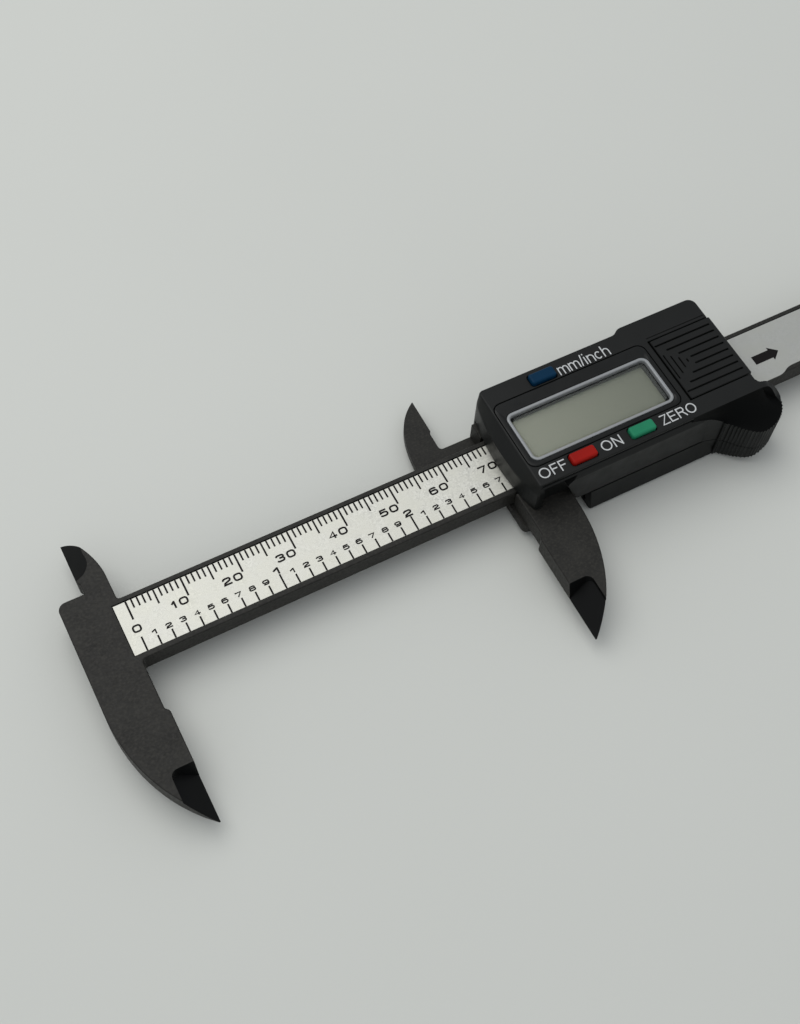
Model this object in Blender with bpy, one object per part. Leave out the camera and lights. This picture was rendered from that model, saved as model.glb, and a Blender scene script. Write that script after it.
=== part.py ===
"""Digital caliper, 0-100 mm: a moulded beam with fixed jaws, and a slider with a display.

Sizes are millimetres in the design frame: X along the beam from the fixed outside jaw's
measuring face, Y from the beam's centre line towards the inside jaws, Z up from the beam's
front face. to_part() moves them to the part frame, which is in metres with its origin at the
middle of the object's footprint, on the surface that the caliper lies on.
"""
import math

import bmesh
import bpy
from mathutils import Vector

MM = 0.001

# Driving dimensions
OPENING = 69.8            # distance between the outside jaws' faces as modelled
BEAM_WIDTH = 12.1
BEAM_THICK = 4.0
BEAM_END = 162.0
JAW_WIDTH = 9.85
OUTSIDE_TIP = -35.7       # Y of the outside jaws' tips
INSIDE_TIP = 21.7         # Y of the inside jaws' tips
INSIDE_FACE = -5.2        # X of the fixed inside jaw's measuring face
RELIEF = 0.7              # set-back of the outside faces near the beam
RELIEF_Y = -16.0
FACET_Y = -25.9           # where the outside jaws' knife facets start
FACET_REACH = 4.2         # their width, from the measuring face
FACET_STEP = 0.9          # depth of the small step at their inner side
CLEARANCE = 0.3           # running gap between the slider and the beam
TOUCH = 0.1               # gap between pieces that rest on each other

HOUSING_TOP = 7.5
SEAM = -2.4               # where the two housing shells meet
REST_Z = -7.4             # underside of the rear shell
HOUSING_LOW = -10.75      # housing edge on the outside jaws' side
HOUSING_HIGH = 11.65      # housing edge on the inside jaws' side
HOUSING_STEP = 12.6       # the same edge past its S-shaped step
WALL = 0.9
RECESS_BACK = -9.6        # back wall of the recess above the outside jaw
PLATE = 1.5               # thickness of the housing's top wall

LABEL_HALF = 5.05         # half the width of the recess under the scale label
LABEL_START = -1.6
LABEL_END = 159.0
TAIL_LABEL_START = 120.5

BUTTON_TRAVEL = 0.6
BUTTON_PROUD = 0.75
RIB_PITCH = 0.75
ROD_LENGTH = BEAM_END - 43.0

# Where the design frame's origin lies in the part frame
FOOTPRINT_LOW = Vector((-JAW_WIDTH, OUTSIDE_TIP, REST_Z))
FOOTPRINT_HIGH = Vector((BEAM_END + OPENING, INSIDE_TIP, REST_Z))
DATUM = (FOOTPRINT_LOW + FOOTPRINT_HIGH) / 2

COLOURS = {
    # name: (colour, roughness, metallic)
    "composite": ((0.045, 0.045, 0.042), 0.55, 0.0),
    "label": ((0.62, 0.61, 0.58), 0.35, 0.6),
    "electrode": ((0.55, 0.33, 0.08), 0.35, 0.9),
    "shell": ((0.030, 0.031, 0.031), 0.45, 0.0),
    "surround": ((0.022, 0.024, 0.025), 0.3, 0.0),
    "trim": ((0.42, 0.43, 0.44), 0.35, 0.7),
    "lens": ((0.9, 0.93, 0.9), 0.05, 0.0),
    "display": ((0.30, 0.33, 0.25), 0.3, 0.0),
    "mode_blue": ((0.01, 0.09, 0.22), 0.3, 0.0),
    "power_red": ((0.75, 0.05, 0.03), 0.3, 0.0),
    "zero_green": ((0.05, 0.50, 0.25), 0.3, 0.0),
    "steel": ((0.55, 0.55, 0.56), 0.3, 1.0),
    "spring_bronze": ((0.60, 0.40, 0.18), 0.35, 1.0),
    "board_green": ((0.02, 0.16, 0.07), 0.4, 0.0),
    "chip_black": ((0.015, 0.015, 0.016), 0.25, 0.0),
    "silicone": ((0.35, 0.36, 0.36), 0.7, 0.0),
}


def to_part(point):
    """A design point in millimetres as a part-frame point in metres."""
    return (Vector(point) - DATUM) * MM


def clear_scene():
    for old in list(bpy.data.objects):
        bpy.data.objects.remove(old, do_unlink=True)


def material(slot):
    found = bpy.data.materials.get(slot)
    if found:
        return found
    colour, roughness, metallic = COLOURS[slot]
    made = bpy.data.materials.new(slot)
    made.use_nodes = True
    shader = made.node_tree.nodes["Principled BSDF"]
    shader.inputs["Base Color"].default_value = (*colour, 1.0)
    shader.inputs["Roughness"].default_value = roughness
    shader.inputs["Metallic"].default_value = metallic
    made.diffuse_color = (*colour, 1.0)
    return made


# Outlines: lists of (x, y), counter-clockwise

def arc(centre, radius, start_deg, end_deg, steps):
    """Points on a circle from one angle to the other, both ends included."""
    points = []
    for step in range(steps + 1):
        angle = math.radians(start_deg + (end_deg - start_deg) * step / steps)
        points.append((centre[0] + radius * math.cos(angle), centre[1] + radius * math.sin(angle)))
    return points


def bezier(start, pull_a, pull_b, end, steps):
    """Points on a cubic curve, both ends included."""
    points = []
    for step in range(steps + 1):
        t = step / steps
        weights = ((1 - t) ** 3, 3 * t * (1 - t) ** 2, 3 * t * t * (1 - t), t ** 3)
        corners = (start, pull_a, pull_b, end)
        points.append(tuple(sum(w * c[axis] for w, c in zip(weights, corners)) for axis in (0, 1)))
    return points


def rectangle(x0, x1, y0, y1):
    return [(x0, y0), (x1, y0), (x1, y1), (x0, y1)]


def round_rectangle(x0, x1, y0, y1, radius, steps=4):
    return (arc((x1 - radius, y0 + radius), radius, -90, 0, steps)
            + arc((x1 - radius, y1 - radius), radius, 0, 90, steps)
            + arc((x0 + radius, y1 - radius), radius, 90, 180, steps)
            + arc((x0 + radius, y0 + radius), radius, 180, 270, steps))


def shifted(outline, dx, dy=0.0):
    return [(x + dx, y + dy) for x, y in outline]


def mirrored(outline):
    """The outline reflected about X = 0, still counter-clockwise."""
    return [(-x, y) for x, y in reversed(outline)]


# Solids

def loft(sections):
    """A closed mesh through outlines of equal length; each is a list of (x, y, z)."""
    shape = bmesh.new()
    rings = [[shape.verts.new(to_part(p)) for p in section] for section in sections]
    count = len(rings[0])
    shape.faces.new(list(reversed(rings[0])))
    shape.faces.new(rings[-1])
    for low, high in zip(rings, rings[1:]):
        for i in range(count):
            j = (i + 1) % count
            shape.faces.new((low[i], low[j], high[j], high[i]))
    bmesh.ops.recalc_face_normals(shape, faces=shape.faces[:])
    return shape


def prism(outline, z0, z1):
    return loft([[(x, y, z) for x, y in outline] for z in (z0, z1)])


def side_prism(profile, y0, y1):
    """A prism along Y; the profile is a list of (x, z)."""
    return loft([[(x, y, z) for x, z in profile] for y in (y0, y1)])


def end_prism(profile, x0, x1):
    """A prism along X; the profile is a list of (y, z)."""
    return loft([[(x, y, z) for y, z in profile] for x in (x0, x1)])


def block(x0, x1, y0, y1, z0, z1):
    return prism(rectangle(x0, x1, y0, y1), z0, z1)


def turned(centre, profile, steps=24):
    """A solid of revolution about Z; the profile is (radius, z) from its foot up."""
    sections = []
    for radius, z in profile:
        ring = arc(centre, radius, 0, 360 - 360 / steps, steps - 1)
        sections.append([(x, y, z) for x, y in ring])
    return loft(sections)


def stands_at(item):
    """Where an object or group is in the part frame; nothing here is rotated."""
    total = Vector()
    while item:
        total += item.location
        item = item.parent
    return total


def place(name, shape, origin, parent=None):
    """An object whose own origin is at the design point; its mesh keeps its place."""
    pivot = to_part(origin)
    for vert in shape.verts:
        vert.co -= pivot
    mesh = bpy.data.meshes.new(name)
    shape.to_mesh(mesh)
    shape.free()
    made = bpy.data.objects.new(name, mesh)
    bpy.context.scene.collection.objects.link(made)
    made.location = pivot
    if parent:
        made.parent = parent
        made.location = pivot - stands_at(parent)
    return made


def piece(name, shape, slot, origin, parent=None, smooth=False):
    made = place(name, shape, origin, parent)
    made.data.materials.append(material(slot))
    if smooth:
        made.data.shade_smooth()
        made.data.set_sharp_from_angle(angle=math.radians(35))
    return made


def combine(target, shapes, operation, label):
    """Boolean helpers: each tool is hidden, and the build leaves it out."""
    for index, shape in enumerate(shapes, start=1):
        tool = place(f"{target.name}_{label}_{index}", shape, (0, 0, 0))
        tool.hide_render = True
        tool.display_type = "WIRE"
        step = target.modifiers.new(tool.name, "BOOLEAN")
        step.operation = operation
        step.solver = "EXACT"
        step.object = tool


def cut(target, *shapes):
    combine(target, shapes, "DIFFERENCE", "cut")


def fuse(target, *shapes):
    combine(target, shapes, "UNION", "add")


def group(name, origin, parent=None):
    """An empty that carries one moving body."""
    made = bpy.data.objects.new(name, None)
    bpy.context.scene.collection.objects.link(made)
    made.location = to_part(origin)
    if parent:
        made.parent = parent
        made.location -= stands_at(parent)
    return made


# Jaw outlines, drawn for the fixed jaws and mirrored for the moving ones

def outside_jaw_back(steps=14):
    """The curved back of the fixed outside jaw, from its straight part to the tip."""
    return bezier((-JAW_WIDTH, -12.5), (-JAW_WIDTH, -21.0), (-6.9, -29.6), (-0.25, OUTSIDE_TIP), steps)


def outside_jaw_face(root_y):
    """The measuring face from the tip up, with its relief step near the beam."""
    return [(0.0, OUTSIDE_TIP), (0.0, RELIEF_Y - 0.5), (-RELIEF, RELIEF_Y + 0.5), (-RELIEF, root_y)]


def facet_tool():
    """Wedge that thins the fixed outside jaw to a knife edge; its end wall leans back."""
    radius = 1.3
    back = -FACET_REACH
    beyond = OUTSIDE_TIP - 4.0
    plan = [(3.0, beyond), (3.0, FACET_Y)]
    plan += arc((back + radius, FACET_Y - radius), radius, 90, 180, 5) + [(back, beyond)]
    edge_z = 0.1 - BEAM_THICK
    rise = (-FACET_STEP - edge_z) / FACET_REACH
    lean = 0.3
    low = [(x, y, edge_z - rise * x) for x, y in plan]
    high = [(x, y, 2.0) for x, y in plan]
    return [[(x, y + lean * z, z) for x, y, z in section] for section in (low, high)]


def inside_facet_tool():
    """Wedge that thins the fixed inside jaw along its measuring face."""
    reach = INSIDE_FACE + 3.1
    plan = [(INSIDE_FACE - 1.5, 12.3), (INSIDE_FACE + 0.3, 12.3)]
    plan += bezier((reach - 1.6, 12.8), (reach - 0.4, 13.8), (reach + 0.2, 14.8), (reach - 0.2, 16.6), 6)
    plan += [(reach - 0.2, 17.5), (reach + 0.1, 19.0), (reach + 0.1, INSIDE_TIP + 2), (INSIDE_FACE - 1.5, INSIDE_TIP + 2)]
    edge_z = -BEAM_THICK + 0.25
    rise = (BEAM_THICK - 0.25) / 3.1
    slope = [(x, y, edge_z + rise * (x - INSIDE_FACE)) for x, y in plan]
    return [slope, [(x, y, 2.0) for x, y in plan]]


def flipped(sections, dx):
    """Loft sections reflected about X = 0 and moved along X."""
    return [[(dx - x, y, z) for x, y, z in section] for section in sections]


def beam_outline():
    half = BEAM_WIDTH / 2
    shoulder = 9.4
    points = outside_jaw_back()
    points += outside_jaw_face(-half - 0.6)
    points += [(-RELIEF + 0.2, -half - 0.15), (-RELIEF + 0.7, -half)]
    points += [(BEAM_END - 1.0, -half), (BEAM_END, 1.0 - half), (BEAM_END, half - 1.0), (BEAM_END - 1.0, half)]
    points += [(0.2, half), (-0.25, half + 0.4)]
    points += bezier((-0.3, 11.5), (-0.4, 14.2), (-1.9, 19.2), (INSIDE_FACE, INSIDE_TIP), 10)
    points += [(INSIDE_FACE, 11.9), (INSIDE_FACE + 0.35, 11.4), (INSIDE_FACE + 0.35, shoulder)]
    points += arc((-JAW_WIDTH + 1.5, shoulder - 1.5), 1.5, 90, 180, 5)
    return points


def make_beam(root):
    beam = piece("main_beam", prism(beam_outline(), -BEAM_THICK, 0.0), "composite", (0, 0, 0), root, True)
    half_groove = 1.3
    cut(beam,
        block(LABEL_START, LABEL_END, -LABEL_HALF, LABEL_HALF, -0.75, 1.0),
        block(2.0, BEAM_END + 1.0, -half_groove, half_groove, -BEAM_THICK - 1.0, -BEAM_THICK + 1.6),
        loft(facet_tool()),
        loft(inside_facet_tool()))
    cut(beam, *[turned((x, y), [(0.8, -BEAM_THICK - 1), (0.8, -BEAM_THICK + 2.0)], 12) for x, y in END_SCREWS])

    piece("scale_circuit", block(LABEL_START + 0.2, LABEL_END - 0.2, -4.8, 4.8, -0.7, -0.35),
          "electrode", (0, 0, -0.5), root)
    piece("scale_label", block(LABEL_START + 0.1, TAIL_LABEL_START - 0.1, -4.97, 4.97, -0.28, -0.1),
          "label", (0, 0, -0.2), root)
    piece("tail_label", block(TAIL_LABEL_START, LABEL_END - 0.1, -4.97, 4.97, -0.28, -0.1),
          "label", (TAIL_LABEL_START, 0, -0.2), root)

    stop_z = -BEAM_THICK - TOUCH
    stop = piece("beam_end_stop", prism(round_rectangle(154.5, 161.0, -5.2, 5.2, 0.8, 3), stop_z - 0.8, stop_z),
                 "composite", (157.75, 0, stop_z), root, True)
    cut(stop, *[turned(at, [(0.8, stop_z - 2), (0.8, stop_z + 1)], 12) for at in END_SCREWS])
    for index, at in enumerate(END_SCREWS, start=1):
        screw(f"end_stop_screw_{index}", at, stop_z - 0.8 - TOUCH, 1.25, 0.5, 0.6, 2.4, root)


END_SCREWS = [(157.75, -3.4), (157.75, 3.4)]


def screw(name, at, seat_z, head_radius, head_height, shank_radius, shank_length, parent, up=True):
    """A cross-head screw whose shank points up from its head, or down where up is false."""
    way = 1 if up else -1
    profile = [(head_radius * 0.8, seat_z - way * head_height), (head_radius, seat_z - way * head_height * 0.6),
               (head_radius, seat_z), (shank_radius, seat_z), (shank_radius, seat_z + way * shank_length)]
    if not up:
        profile.reverse()
    made = piece(name, turned(at, profile, 16), "steel", (*at, seat_z), parent, True)
    low, high = sorted((seat_z - way * head_height * 1.5, seat_z - way * head_height * 0.45))
    slot_length = head_radius * 0.6
    slot_width = head_radius * 0.16
    cut(made,
        block(at[0] - slot_length, at[0] + slot_length, at[1] - slot_width, at[1] + slot_width, low, high),
        block(at[0] - slot_width, at[0] + slot_width, at[1] - slot_length, at[1] + slot_length, low, high))


# The slider: every X below is measured from the moving jaw's face

def at_slider(outline):
    return shifted(outline, OPENING)


def slider_block(x0, x1, y0, y1, z0, z1):
    return block(OPENING + x0, OPENING + x1, y0, y1, z0, z1)


FRAME_BACK = -BEAM_THICK - CLEARANCE         # front face of the frame's back plate
FRAME_REAR = FRAME_BACK - 2.0                # its rear face
RAIL_HIGH = (6.75, 10.1)                     # Y range of the rail on the inside jaws' side
RAIL_LOW = (-9.2, -BEAM_WIDTH / 2 - CLEARANCE)
FRAME_END = 47.3
REAR_SCREWS = [(18.2, -7.8), (43.0, -7.8), (18.2, 8.4), (43.0, 8.4)]
BOARD_SCREWS = [(5.6, -7.2), (46.0, 8.4)]


def frame_plate_outline():
    """Back plate with the moving inside jaw and the rounded front corner under the outside jaw."""
    face = INSIDE_FACE
    points = [(0.1, -10.2)] + arc((1.3, -10.4), 1.1, 200, 270, 4) + [(6.0, -11.5), (6.4, RAIL_LOW[0])]
    points += [(FRAME_END, RAIL_LOW[0]), (FRAME_END, RAIL_HIGH[1]), (face + 0.3, RAIL_HIGH[1])]
    points += [(face - 0.25, RAIL_HIGH[1] + 0.15), (face - 0.35, RAIL_HIGH[1] + 0.6)]
    points += [(face - 0.35, 14.0), (face, 14.5), (face, INSIDE_TIP)]
    points += bezier((face - 0.1, INSIDE_TIP), (face - 4.4, 18.9), (face - 5.75, 14.6), (face - 6.2, 8.6), 10)
    points += [(face - 6.2, 6.6), (face - 4.7, 5.0), (-1.6, 5.0), (0.0, 3.4)]
    return points


def moving_jaw_outline():
    points = mirrored(outside_jaw_back())
    points = [(0.0, OUTSIDE_TIP)] + points
    points += [(JAW_WIDTH, RAIL_LOW[0]), (JAW_WIDTH + 0.6, RAIL_LOW[1]), (RELIEF, RAIL_LOW[1])]
    points += [(RELIEF, RELIEF_Y + 0.5), (0.0, RELIEF_Y - 0.5)]
    return points


def make_slider_frame(slider):
    plate = prism(at_slider(frame_plate_outline()), FRAME_REAR, FRAME_BACK)
    frame = piece("slider_frame", plate, "composite", (OPENING, 0, 0), slider, True)
    overlap = 0.4
    fuse(frame,
         prism(at_slider(moving_jaw_outline()), FRAME_BACK - overlap, 0.0),
         slider_block(0.75, FRAME_END - 0.4, RAIL_HIGH[0], RAIL_HIGH[1] - 0.03, FRAME_BACK - overlap, 0.0),
         slider_block(JAW_WIDTH - 1.0, FRAME_END - 0.4, RAIL_LOW[0] + 0.03, RAIL_LOW[1], FRAME_BACK - overlap, 0.0))
    # The jaw is as thin as the beam where it stands clear of the back plate
    below_jaw = rectangle(-0.5, JAW_WIDTH + 1, OUTSIDE_TIP - 1, -11.5)
    cut(frame,
        prism(at_slider(below_jaw), FRAME_REAR - 1, -BEAM_THICK),
        loft(flipped(facet_tool(), OPENING)),
        loft(inside_underside_tool()))
    screw_holes = [turned((OPENING + x, y), [(0.95, FRAME_REAR - 1), (0.95, -1.2)], 12) for x, y in REAR_SCREWS]
    board_holes = [turned((OPENING + x, y), [(0.75, -2.4), (0.75, 1.0)], 12) for x, y in BOARD_SCREWS]
    cut(frame, *screw_holes, *board_holes)

    gib_low = BEAM_WIDTH / 2 + 0.1
    bow = [(2.0, gib_low + 0.1), (15.0, gib_low), (30.0, gib_low + 0.1), (45.0, gib_low), (45.0, gib_low + 0.3),
           (30.0, gib_low + 0.4), (15.0, gib_low + 0.3), (2.0, gib_low + 0.4)]
    piece("gib_spring", prism(at_slider(bow), -3.4, -0.6), "spring_bronze", (OPENING + 23, 6.4, -2), slider)


def inside_underside_tool():
    """Bevel under the moving inside jaw, which leaves its edge thin beside the fixed one."""
    x1 = OPENING + INSIDE_FACE
    low, high = FRAME_REAR - 1.0, FRAME_BACK - 0.3
    profile = [(x1 - 3.4, low), (x1 + 1.0, low), (x1 + 1.0, high), (x1 - 0.1, high), (x1 - 3.0, FRAME_REAR)]
    return [[(x, y, z) for x, z in profile] for y in (14.9, INSIDE_TIP + 1.0)]


def make_depth_rod(slider):
    tail = OPENING + 43.2
    rod = block(tail, BEAM_END + OPENING, -1.1, 1.1, -BEAM_THICK + 0.1, -BEAM_THICK + 1.4)
    made = piece("depth_rod", rod, "composite", (tail, 0, -BEAM_THICK), slider)
    fuse(made, block(tail, tail + 3.6, -1.1, 1.1, FRAME_BACK + TOUCH, -BEAM_THICK + 0.3))
    notch = [(BEAM_END + OPENING - 6.0, -BEAM_THICK - 1), (BEAM_END + OPENING + 1, -BEAM_THICK - 1),
             (BEAM_END + OPENING + 1, -BEAM_THICK + 0.75)]
    cut(made, side_prism(notch, -2, 2))


# Housing shells

GRIP_TOP = 3.0
GRIP_START = 41.0


def evenly(points, pitch):
    """Points spaced by about the pitch along a polyline."""
    route = [points[0]]
    walked = 0.0
    for here, there in zip(points, points[1:]):
        walked += math.dist(here, there)
        if walked >= pitch:
            route.append(there)
            walked = 0.0
    return route


def ribbed_grip():
    """Plan of the thumb grip: its outer wall is a row of upright ribs."""
    fine = 80
    curve = bezier((40.9, -11.7), (43.0, -14.0), (44.9, -16.75), (46.9, -16.75), fine)
    curve += bezier((46.9, -16.75), (50.2, -16.75), (53.4, -14.0), (53.4, -12.2), fine)
    curve += bezier((53.4, -12.2), (53.4, -10.5), (51.6, -9.3), (49.7, -9.25), fine)
    wall = evenly(curve, RIB_PITCH / 2)
    depth = 0.25
    points = []
    for index, (x, y) in enumerate(wall):
        ahead = wall[min(index + 1, len(wall) - 1)]
        behind = wall[max(index - 1, 0)]
        along = Vector((ahead[0] - behind[0], ahead[1] - behind[1])).normalized()
        inset = depth if index % 2 else 0.0
        points.append((x - along.y * inset, y + along.x * inset))
    return [(GRIP_START, -9.9)] + points + [(48.0, -9.0)]


def front_housing_outline():
    """Plan of the front shell: a bowed front edge and an S-shaped step on the upper edge."""
    low, high, step_high = HOUSING_LOW, HOUSING_HIGH, HOUSING_STEP
    points = [(1.9, low), (48.3, low), (48.95, low + 0.6)]
    points += arc((48.95 - 1.6, step_high - 1.6), 1.6, 0, 90, 4)
    points += bezier((33.0, step_high), (31.6, step_high), (31.8, high), (30.4, high), 6)
    points += [(2.3, high), (1.7, high - 0.6)]
    points += bezier((1.5, high - 1.6), (0.35, 4.0), (0.35, -4.0), (1.5, low + 1.4), 8)
    return points


SURROUND = (2.7, 34.45, -6.65, 7.65)      # X and Y ranges from the moving jaw's face
TRIM_OUT = (3.8, 33.55, -5.7, 5.05)
TRIM_WIDTH = 0.95
COVER = (35.95, 49.35, -6.75, 7.35)
COVER_THICK = 0.7
LEDGE = 1.0                               # width of the ledges that the cover slides on
BUTTONS = {
    # name: (X range, Y range, colour)
    "mode_button": ((11.7, 16.8), (8.25, 10.5), "mode_blue"),
    "power_button": ((9.6, 14.7), (-9.4, -7.2), "power_red"),
    "zero_button": ((21.9, 26.9), (-9.4, -7.2), "zero_green"),
}


def grown(ranges, by):
    x0, x1, y0, y1 = ranges
    return (x0 - by, x1 + by, y0 - by, y1 + by)


def make_front_housing(slider):
    body = prism(at_slider(front_housing_outline()), SEAM, HOUSING_TOP)
    shell = piece("front_housing", body, "shell", (OPENING, 0, HOUSING_TOP), slider, True)
    fuse(shell, prism(at_slider(ribbed_grip()), SEAM, GRIP_TOP), side_prism(grip_ridge(), -10.6, -9.3))
    low, high = HOUSING_LOW, HOUSING_HIGH
    inner_top = HOUSING_TOP - PLATE
    front_slope = [(OPENING - 1.0, HOUSING_TOP + 1), (OPENING - 1.0, 5.0), (OPENING + 0.2, 5.0),
                   (OPENING + 2.6, HOUSING_TOP + 0.1), (OPENING + 2.6, HOUSING_TOP + 1)]
    # Hollow inside, and the passage for the beam and the frame's rails
    cut(shell,
        slider_block(3.1, 47.9, RECESS_BACK + WALL, high - WALL, SEAM - 1, inner_top),
        slider_block(9.3, 47.9, low + WALL, high - WALL - 0.1, SEAM - 1, inner_top - 0.02),
        slider_block(-1.0, 50.5, RAIL_LOW[0] - 0.3, RAIL_HIGH[1] + 0.3, SEAM - 1, 0.3),
        slider_block(47.0, 52.0, COVER[2] - 0.15, COVER[3] + 0.15, 1.3, HOUSING_TOP + 1),
        side_prism(front_slope, low - 1, high + 1))
    # Pockets for the display's surround, its window, and the battery cover on its ledges
    cover_seat = HOUSING_TOP - COVER_THICK - TOUCH
    cut(shell,
        prism(at_slider(round_rectangle(*grown(SURROUND, 0.12), 1.7, 5)), HOUSING_TOP - 0.9, HOUSING_TOP + 1),
        prism(at_slider(round_rectangle(*grown(TRIM_OUT, -0.7), 0.9, 4)), inner_top - 1, HOUSING_TOP + 1),
        slider_block(COVER[0] - 0.15, 50.5, COVER[2] - 0.15, COVER[3] + 0.15, cover_seat, HOUSING_TOP + 1),
        slider_block(COVER[0] + 0.4, 50.5, COVER[2] + LEDGE, COVER[3] - LEDGE, inner_top - 1, HOUSING_TOP + 1))
    for x_range, y_range, _ in BUTTONS.values():
        hole = round_rectangle(*grown((*x_range, *y_range), 0.15), 0.55, 3)
        cut(shell, prism(at_slider(hole), inner_top - 1, HOUSING_TOP + 1))
    # Side wall: a shadow groove under the top plate, and the slanted opening for the jaw
    groove = [(low - 1, 6.3), (low - 1, 5.2), (low + 0.05, 5.5), (low + 0.45, 5.9), (low + 0.45, 6.3)]
    jaw_opening = [(OPENING + 3.2, SEAM - 1), (OPENING + 11.6, SEAM - 1), (OPENING + 11.0, -2.0),
                   (OPENING + 8.1, 4.0), (OPENING + 10.0, 5.7), (OPENING + 3.2, 5.7)]
    nose_foot = slider_block(-1.0, 11.0, low - 1, RECESS_BACK + WALL + 0.5, SEAM - 1, 0.3)
    cut(shell,
        end_prism(groove, OPENING + 1.0, OPENING + GRIP_START - 5.6),
        side_prism(jaw_opening, low - 1, RECESS_BACK),
        nose_foot,
        side_prism(scoop_ramp(), low - 1, low + 0.55))


def grip_ridge():
    """Profile (x, z) of the ridge that sweeps from the top plate down to the grip's end."""
    curve = bezier((53.0, GRIP_TOP - 0.4), (51.2, GRIP_TOP + 0.8), (50.4, HOUSING_TOP - 0.5), (48.4, HOUSING_TOP), 6)
    return [(OPENING + x, z) for x, z in [(47.9, GRIP_TOP - 0.4)] + curve + [(47.9, HOUSING_TOP)]]


def scoop_ramp():
    """Profile (x, z) of the ramp that leads a thumb from the side wall down into the grip."""
    start = GRIP_START - 5.8
    curve = bezier((start, 5.5), (start + 2.5, 5.2), (start + 3.5, GRIP_TOP + 0.3), (start + 6.5, GRIP_TOP), 5)
    return [(OPENING + x, z) for x, z in curve + [(48.3, GRIP_TOP), (48.3, 6.3), (start, 6.3)]]


def make_rear_housing(slider):
    start = 13.9
    top = SEAM - 0.15
    low_top, low_foot = HOUSING_LOW - 0.3, HOUSING_LOW - 1.3
    high = HOUSING_HIGH - 0.05
    profile = [(low_foot + 0.6, REST_Z), (high - 0.7, REST_Z), (high, REST_Z + 0.7), (high, top),
               (low_top, top), (low_foot, REST_Z + 0.6)]
    shell = piece("rear_housing", end_prism(profile, OPENING + start, OPENING + 48.95), "shell",
                  (OPENING + start, 0, REST_Z), slider, True)
    fuse(shell, prism(at_slider(ribbed_grip()), REST_Z + 0.5, top))
    cut(shell,
        slider_block(start - 1, 47.7, low_top + 1.1, high - 1.0, FRAME_REAR - TOUCH, top + 1),
        slider_block(start - 1, 50.0, RAIL_LOW[0] - 0.3, RAIL_HIGH[1] + 0.3, FRAME_REAR - TOUCH, top + 1),
        slider_block(start - 1, 60.0, -BEAM_WIDTH / 2 - CLEARANCE, 6.5, FRAME_REAR - TOUCH, top + 1))
    underside = [(GRIP_START, REST_Z - 1), (56.0, REST_Z - 1), (56.0, -4.6), (48.5, -4.8), (GRIP_START, REST_Z + 0.2)]
    cut(shell, side_prism([(OPENING + x, z) for x, z in underside], -20.0, low_foot))
    for x, y in REAR_SCREWS:
        at = (OPENING + x, y)
        cut(shell, turned(at, [(1.5, REST_Z - 1), (1.5, REST_Z + 0.5), (0.95, REST_Z + 0.5), (0.95, FRAME_BACK)], 16))
    for index, (x, y) in enumerate(REAR_SCREWS, start=1):
        screw(f"rear_screw_{index}", (OPENING + x, y), REST_Z + 0.5 - TOUCH, 1.35, 0.35, 0.8, 4.6, slider)


# Display, board and battery

LCD_TOP = HOUSING_TOP - PLATE - TOUCH
BOARD_Z = (0.45, 1.05)
PAD_TOP = 5.35


def ring(outer, inner, radius_out, radius_in, z0, z1):
    """A rounded rectangular frame, closed on both sides, as one solid."""
    steps = 5
    out = at_slider(round_rectangle(*outer, radius_out, steps))
    hole = at_slider(round_rectangle(*inner, radius_in, steps))
    shape = bmesh.new()
    loops = [[shape.verts.new(to_part((x, y, z))) for x, y in line]
             for line, z in ((out, z0), (out, z1), (hole, z1), (hole, z0))]
    count = len(out)
    for low, high in zip(loops, loops[1:] + loops[:1]):
        for i in range(count):
            j = (i + 1) % count
            shape.faces.new((low[i], low[j], high[j], high[i]))
    bmesh.ops.recalc_face_normals(shape, faces=shape.faces[:])
    return shape


def make_display(slider):
    seat = HOUSING_TOP - 0.9 + TOUCH
    middle = (OPENING + 18.7, -0.3, seat)
    trim_in = grown(TRIM_OUT, -TRIM_WIDTH)
    piece("display_surround", ring(SURROUND, grown(TRIM_OUT, 0.08), 1.6, 1.6, seat, HOUSING_TOP),
          "surround", middle, slider, True)
    piece("display_trim", ring(TRIM_OUT, trim_in, 1.5, 0.9, seat, HOUSING_TOP + 0.08),
          "trim", middle, slider, True)
    piece("display_lens", prism(at_slider(round_rectangle(*grown(trim_in, -0.1), 0.8, 4)), seat, seat + 0.45),
          "lens", middle, slider)
    panel = slider_block(4.2, 33.2, -5.3, 4.7, LCD_TOP - 1.6, LCD_TOP)
    piece("display_panel", panel, "display", (OPENING + 18.7, -0.3, LCD_TOP), slider)
    for index, y in enumerate((-4.6, 4.0), start=1):
        strip = slider_block(5.6, 31.8, y - 0.6, y + 0.6, BOARD_Z[1] + TOUCH, LCD_TOP - 1.6 - TOUCH)
        piece(f"zebra_strip_{index}", strip, "silicone", (OPENING + 18.7, y, 2.5), slider)


def make_board(slider):
    board = piece("circuit_board", slider_block(3.5, 47.4, RECESS_BACK + WALL + 0.2, 10.2, *BOARD_Z), "board_green",
                  (OPENING + 25, 0, BOARD_Z[0]), slider)
    cut(board, *[turned((OPENING + x, y), [(0.75, -1), (0.75, 2)], 12) for x, y in BOARD_SCREWS])
    for index, (x, y) in enumerate(BOARD_SCREWS, start=1):
        screw(f"board_screw_{index}", (OPENING + x, y), BOARD_Z[1] + TOUCH, 1.2, 0.5, 0.6, 2.9, slider, up=False)
    piece("controller_chip", slider_block(14.5, 21.5, -2.8, 2.2, BOARD_Z[1] + 0.05, BOARD_Z[1] + 1.2),
          "chip_black", (OPENING + 18, -0.3, 1.1), slider)
    for name, (x_range, y_range, _) in BUTTONS.items():
        x, y = sum(x_range) / 2, sum(y_range) / 2
        profile = [(1.0, BOARD_Z[1] + TOUCH), (1.0, 3.6), (0.7, PAD_TOP)]
        piece(name.replace("button", "switch"), turned((OPENING + x, y), profile, 16), "silicone",
              (OPENING + x, y, PAD_TOP), slider, True)


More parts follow.
